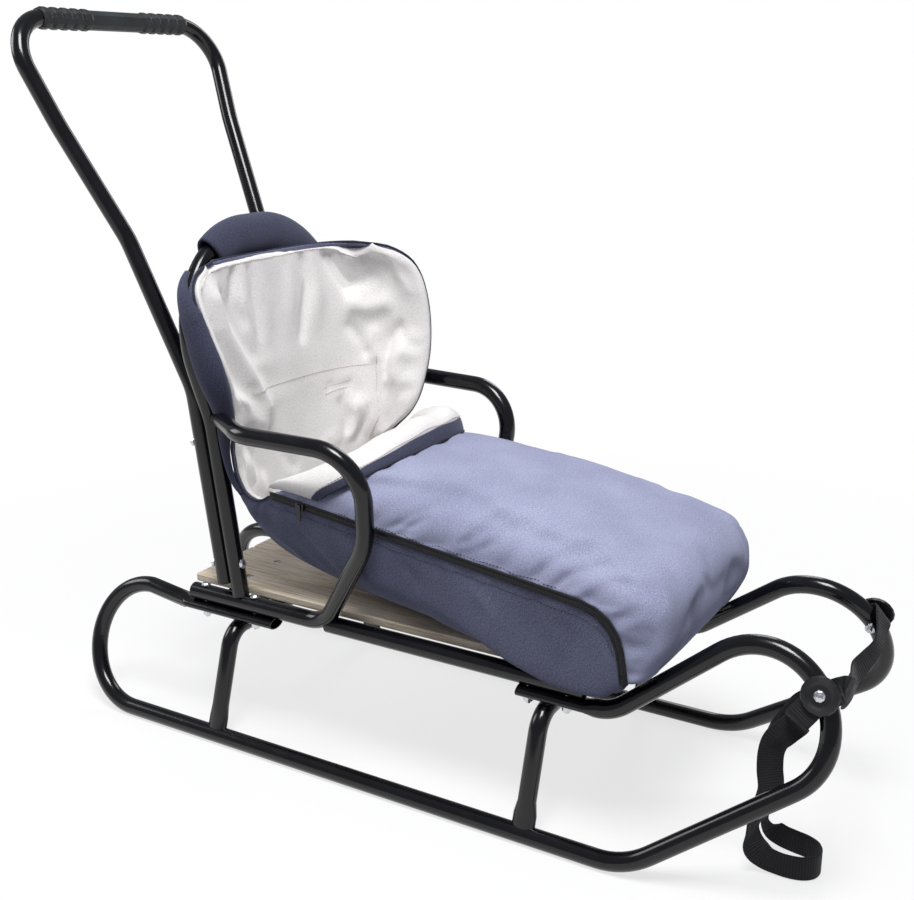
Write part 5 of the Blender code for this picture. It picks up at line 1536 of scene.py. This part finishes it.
# %% Route of the strap
WEB_W = 0.0260
WEB_T = 0.0022
WEB_LAY = 0.0034
STRAP_LOOP = [
    (-0.0925, -0.4420, 0.1730, 0.88, -0.12, 0.10),
    (-0.0920, -0.4320, 0.1610, 0.85, -0.10, 0.00),
    (-0.0915, -0.4230, 0.1490, 0.85, 0.20, 0.00),
    (-0.0905, -0.4190, 0.1340, 0.83, 0.45, 0.00),
    (-0.0900, -0.4190, 0.1160, 0.83, 0.50, 0.00),
    (-0.0900, -0.4210, 0.0950, 0.80, 0.60, 0.00),
    (-0.0905, -0.4110, 0.0620, 0.50, 0.85, 0.1),
    (-0.0910, -0.4065, 0.0440, 0.20, 1.00, 0.2),
    (-0.0915, -0.4095, 0.0280, 0.60, 0.70, -0.3),
    (-0.0910, -0.4200, 0.0185, 1.00, 0.20, -0.1),
    (-0.0900, -0.4340, 0.0150, 1.00, 0.00, 0.0),
    (-0.0890, -0.4480, 0.0145, 1.00, 0.05, 0.0),
    (-0.0850, -0.4600, 0.0145, 0.92, 0.38, 0.0),
    (-0.0770, -0.4680, 0.0145, 0.50, 0.86, 0.0),
    (-0.0650, -0.4700, 0.0145, 0.00, 1.00, 0.0),
    (-0.0530, -0.4640, 0.0145, -0.60, 0.80, 0.0),
    (-0.0460, -0.4520, 0.0145, -0.95, 0.30, 0.0),
    (-0.0440, -0.4380, 0.0150, -1.00, 0.00, 0.0),
    (-0.0440, -0.4240, 0.0175, -1.00, 0.00, 0.0),
    (-0.0450, -0.4120, 0.0245, -0.80, 0.50, 0.2),
    (-0.0470, -0.4065, 0.0400, -0.50, 0.85, 0.0),
    (-0.0550, -0.4095, 0.0660, -0.55, 0.85, 0.0),
    (-0.0590, -0.4115, 0.0930, -0.60, 0.80, 0.0),
    (-0.0650, -0.4120, 0.1200, -0.75, 0.65, 0.0),
    (-0.0720, -0.4200, 0.1460, -0.90, 0.45, 0.0),
    (-0.0790, -0.4330, 0.1700, -1.00, 0.20, 0.0),
]
STRAP_BRIDGE = [
    (-0.0790, -0.4800, 0.2140, -0.70, -0.70, 0.0),
    (-0.0500, -0.4800, 0.1980, -0.30, -0.95, 0.00),
    (-0.0100, -0.4670, 0.1710, -0.40, -0.90, 0.10),
    (0.0200, -0.4660, 0.1710, -0.50, -0.80, 0.10),
    (0.0460, -0.4640, 0.1740, -0.60, -0.75, 0.10),
    (0.0630, -0.4710, 0.1835, -0.40, -0.90, 0.10),
    (0.0740, -0.4775, 0.1950, -0.15, -1.00, 0.20),
    (0.0820, -0.4785, 0.2060, 0.00, -1.00, 0.40),
]
OUTER_LAY = [(0.008, 0.012), (0.0, 0.0), (-0.012, -0.018), (-0.018, -0.027)]
INNER_LAY = [(-0.020, -0.016), (-0.010, -0.008), (0.0, 0.0), (0.008, 0.003)]
NOSE = Vector((0.09748, -0.46591, 0.21168))
NOSE_TURN = math.radians(34.4)
print("strap route has", len(STRAP_LOOP) + len(STRAP_BRIDGE) + 13, "points")


# %% [markdown]
# ## Draw the strap
# The ribbon is a section that is flat with softened corners, carried along the route. Each
# station gives a point and the way its face looks, and both are read as smooth curves between
# stations, so the twists come out even.


# %% Sweep the strap along its route
def right_lay(route_points, outward):
    """Points on the right nose: outside the tube (outward 1) or inside it (-1)."""
    axis = Vector((-1.0, 0.0, RUNNER_LEAN)).normalized()
    rise = Vector((axis.z, 0.0, -axis.x)).normalized()
    flat = mirrored(NOSE) + axis * (outward * (TUBE_R + WEB_LAY / 2.0))
    face = -axis * outward if outward > 0 else axis
    return [(*(flat + Vector((0.0, -forward, 0.0)) + rise * up), *face)
            for forward, up in route_points]


def left_eye():
    """Points over the front of the left nose and under its washer."""
    axis = Vector((1.0, 0.0, RUNNER_LEAN)).normalized()
    radial = Vector((0.0, -math.cos(NOSE_TURN), math.sin(NOSE_TURN)))
    both = (radial + axis).normalized()
    front = NOSE + radial * (TUBE_R + WEB_LAY * 0.9) - axis * 0.004
    flat = NOSE + axis * (TUBE_R + WEB_LAY / 2.0)
    lay = [(*(flat - radial * back), *axis) for back in (-0.004, 0.004, 0.013)]
    return [(*front, *radial), (*(NOSE + both * (TUBE_R + WEB_LAY)), *both)] + lay


WEB_SECTION = ((-0.5, -0.28), (-0.46, -0.5), (0.46, -0.5), (0.5, -0.28),
               (0.5, 0.28), (0.46, 0.5), (-0.46, 0.5), (-0.5, 0.28))


def ribbon(name, points, faces, width, thickness, material):
    """A flat band with softened edges, its UV in real metres along and across."""
    rings = []
    for k, (here, walked) in enumerate(zip(points, walked_along(points))):
        run = heading(points, k)
        face = (faces[k] - run * faces[k].dot(run)).normalized()
        across = run.cross(face)
        rings.append([(here + across * (a * width) + face * (b * thickness), (a * width, walked))
                      for a, b in WEB_SECTION])
    return loft(name, rings, material, smooth=False)


route = (right_lay(OUTER_LAY, 1) + STRAP_LOOP + right_lay(INNER_LAY, -1) + STRAP_BRIDGE
         + left_eye())
walked = walked_along([Vector(values[:3]) for values in route])
stations = [(length, *values) for length, values in zip(walked, route)]
read = [track(stations, s) for s in steps(0.0, walked[-1], int(walked[-1] / 0.0030))]
strap_points = [Vector(values[:3]) for values in read]
strap_faces = [Vector(values[3:]).normalized() for values in read]
strap = ribbon("pull_webbing", strap_points, strap_faces, WEB_W, WEB_T, webbing)
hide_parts("pull_strap")
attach(strap, "sled")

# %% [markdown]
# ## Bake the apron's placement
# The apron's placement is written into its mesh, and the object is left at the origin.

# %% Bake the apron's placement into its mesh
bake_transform(apron)

# %% [markdown]
# ## The studio
# The photograph is cut out on white. So the floor is pale and keeps a soft shadow, the camera
# sees it and the world as white, and glossy tubes mirror the same white. The lamps are large,
# and most of the light falls from above, which is what makes the apron pale and the side dark.

# %% Floor and world
FLOOR_HALF = 7.0
FADE_FROM, FADE_TO = 0.55, 1.30   # the floor goes over into white between these distances


def seen_by(tree, *kinds):
    """1 for rays of either kind, 0 for all others."""
    rays = add(tree, "ShaderNodeLightPath")
    return rays, combined(tree, "MAXIMUM", (rays, kinds[0]), (rays, kinds[1]))


h = FLOOR_HALF
floor_mesh = bpy.data.meshes.new("studio_floor")
floor_mesh.from_pydata([(-h, -h, 0.0), (h, -h, 0.0), (h, h, 0.0), (-h, h, 0.0)], [], [(0, 1, 2, 3)])
floor = bpy.data.objects.new("studio_floor", floor_mesh)
bpy.context.scene.collection.objects.link(floor)
floor_paint, tree, shader, place = finish("pale_studio_floor", 0.9)
rays, seen = seen_by(tree, "Is Camera Ray", "Is Glossy Ray")
felt = mixed_colour(tree, (rays, "Is Diffuse Ray"), linear("#f4f4f5"), linear("#8e8e92"))
feed(tree, felt, 2, shader, "Base Color")
reach = add(tree, "ShaderNodeVectorMath", {"operation": "LENGTH"}, i0=(place, "Object"))
plain = add(tree, "ShaderNodeMapRange", None, Value=(reach, "Value"), From_Min=FADE_FROM,
            From_Max=FADE_TO, To_Min=0.72, To_Max=1.0)
share = combined(tree, "MULTIPLY", (seen, 0), (plain, 0))
glow = add(tree, "ShaderNodeEmission", None, Color=linear("#ffffff"), Strength=1.0)
mixed = add(tree, "ShaderNodeMixShader", None, i0=(share, 0), i1=(shader, 0), i2=(glow, 0))
tree.links.new(mixed.outputs[0], tree.nodes["Material Output"].inputs["Surface"])
floor_mesh.materials.append(floor_paint)

world = bpy.data.worlds.new("studio_air")
world.use_nodes = True
bpy.context.scene.world = world
tree = world.node_tree
rays, seen = seen_by(tree, "Is Camera Ray", "Is Transmission Ray")
soft = tree.nodes["Background"]
soft.inputs["Color"].default_value = linear("#f4f6ff")
soft.inputs["Strength"].default_value = 0.30
white = add(tree, "ShaderNodeBackground", None, Color=linear("#ffffff"), Strength=1.0)
mixed = add(tree, "ShaderNodeMixShader", None, i0=(seen, 0), i1=(soft, 0), i2=(white, 0))
tree.links.new(mixed.outputs[0], tree.nodes["World Output"].inputs["Surface"])
print("floor and world ready")

# %% [markdown]
# ## The lamps
# A lamp for photographs is a large bright sheet. A big one near the object gives soft shadows
# and a long, clean stripe on every tube. The strongest hangs above and a little to the front.


# %% Hang three softboxes
def softbox(name, place, aim, size, power):
    """A white rectangle of light, size in metres and power in watts, that faces its aim."""
    data = bpy.data.lights.new(name, "AREA")
    data.shape = "RECTANGLE"
    data.size, data.size_y = size
    data.energy = power
    lamp = bpy.data.objects.new(name, data)
    bpy.context.scene.collection.objects.link(lamp)
    lamp.location = place
    lamp.rotation_mode = "QUATERNION"
    lamp.rotation_quaternion = (Vector(aim) - Vector(place)).to_track_quat("-Z", "Y")


softbox("key_softbox", (-0.85, -0.50, 2.75), (0.0, 0.0, 0.35), (0.9, 1.1), 68.0)
softbox("far_softbox", (2.3, 0.4, 1.7), (0.0, 0.0, 0.3), (0.8, 1.6), 12.0)
softbox("rear_softbox", (-0.8, 2.5, 1.6), (0.0, 0.1, 0.4), (1.2, 1.2), 20.0)
print("three softboxes")
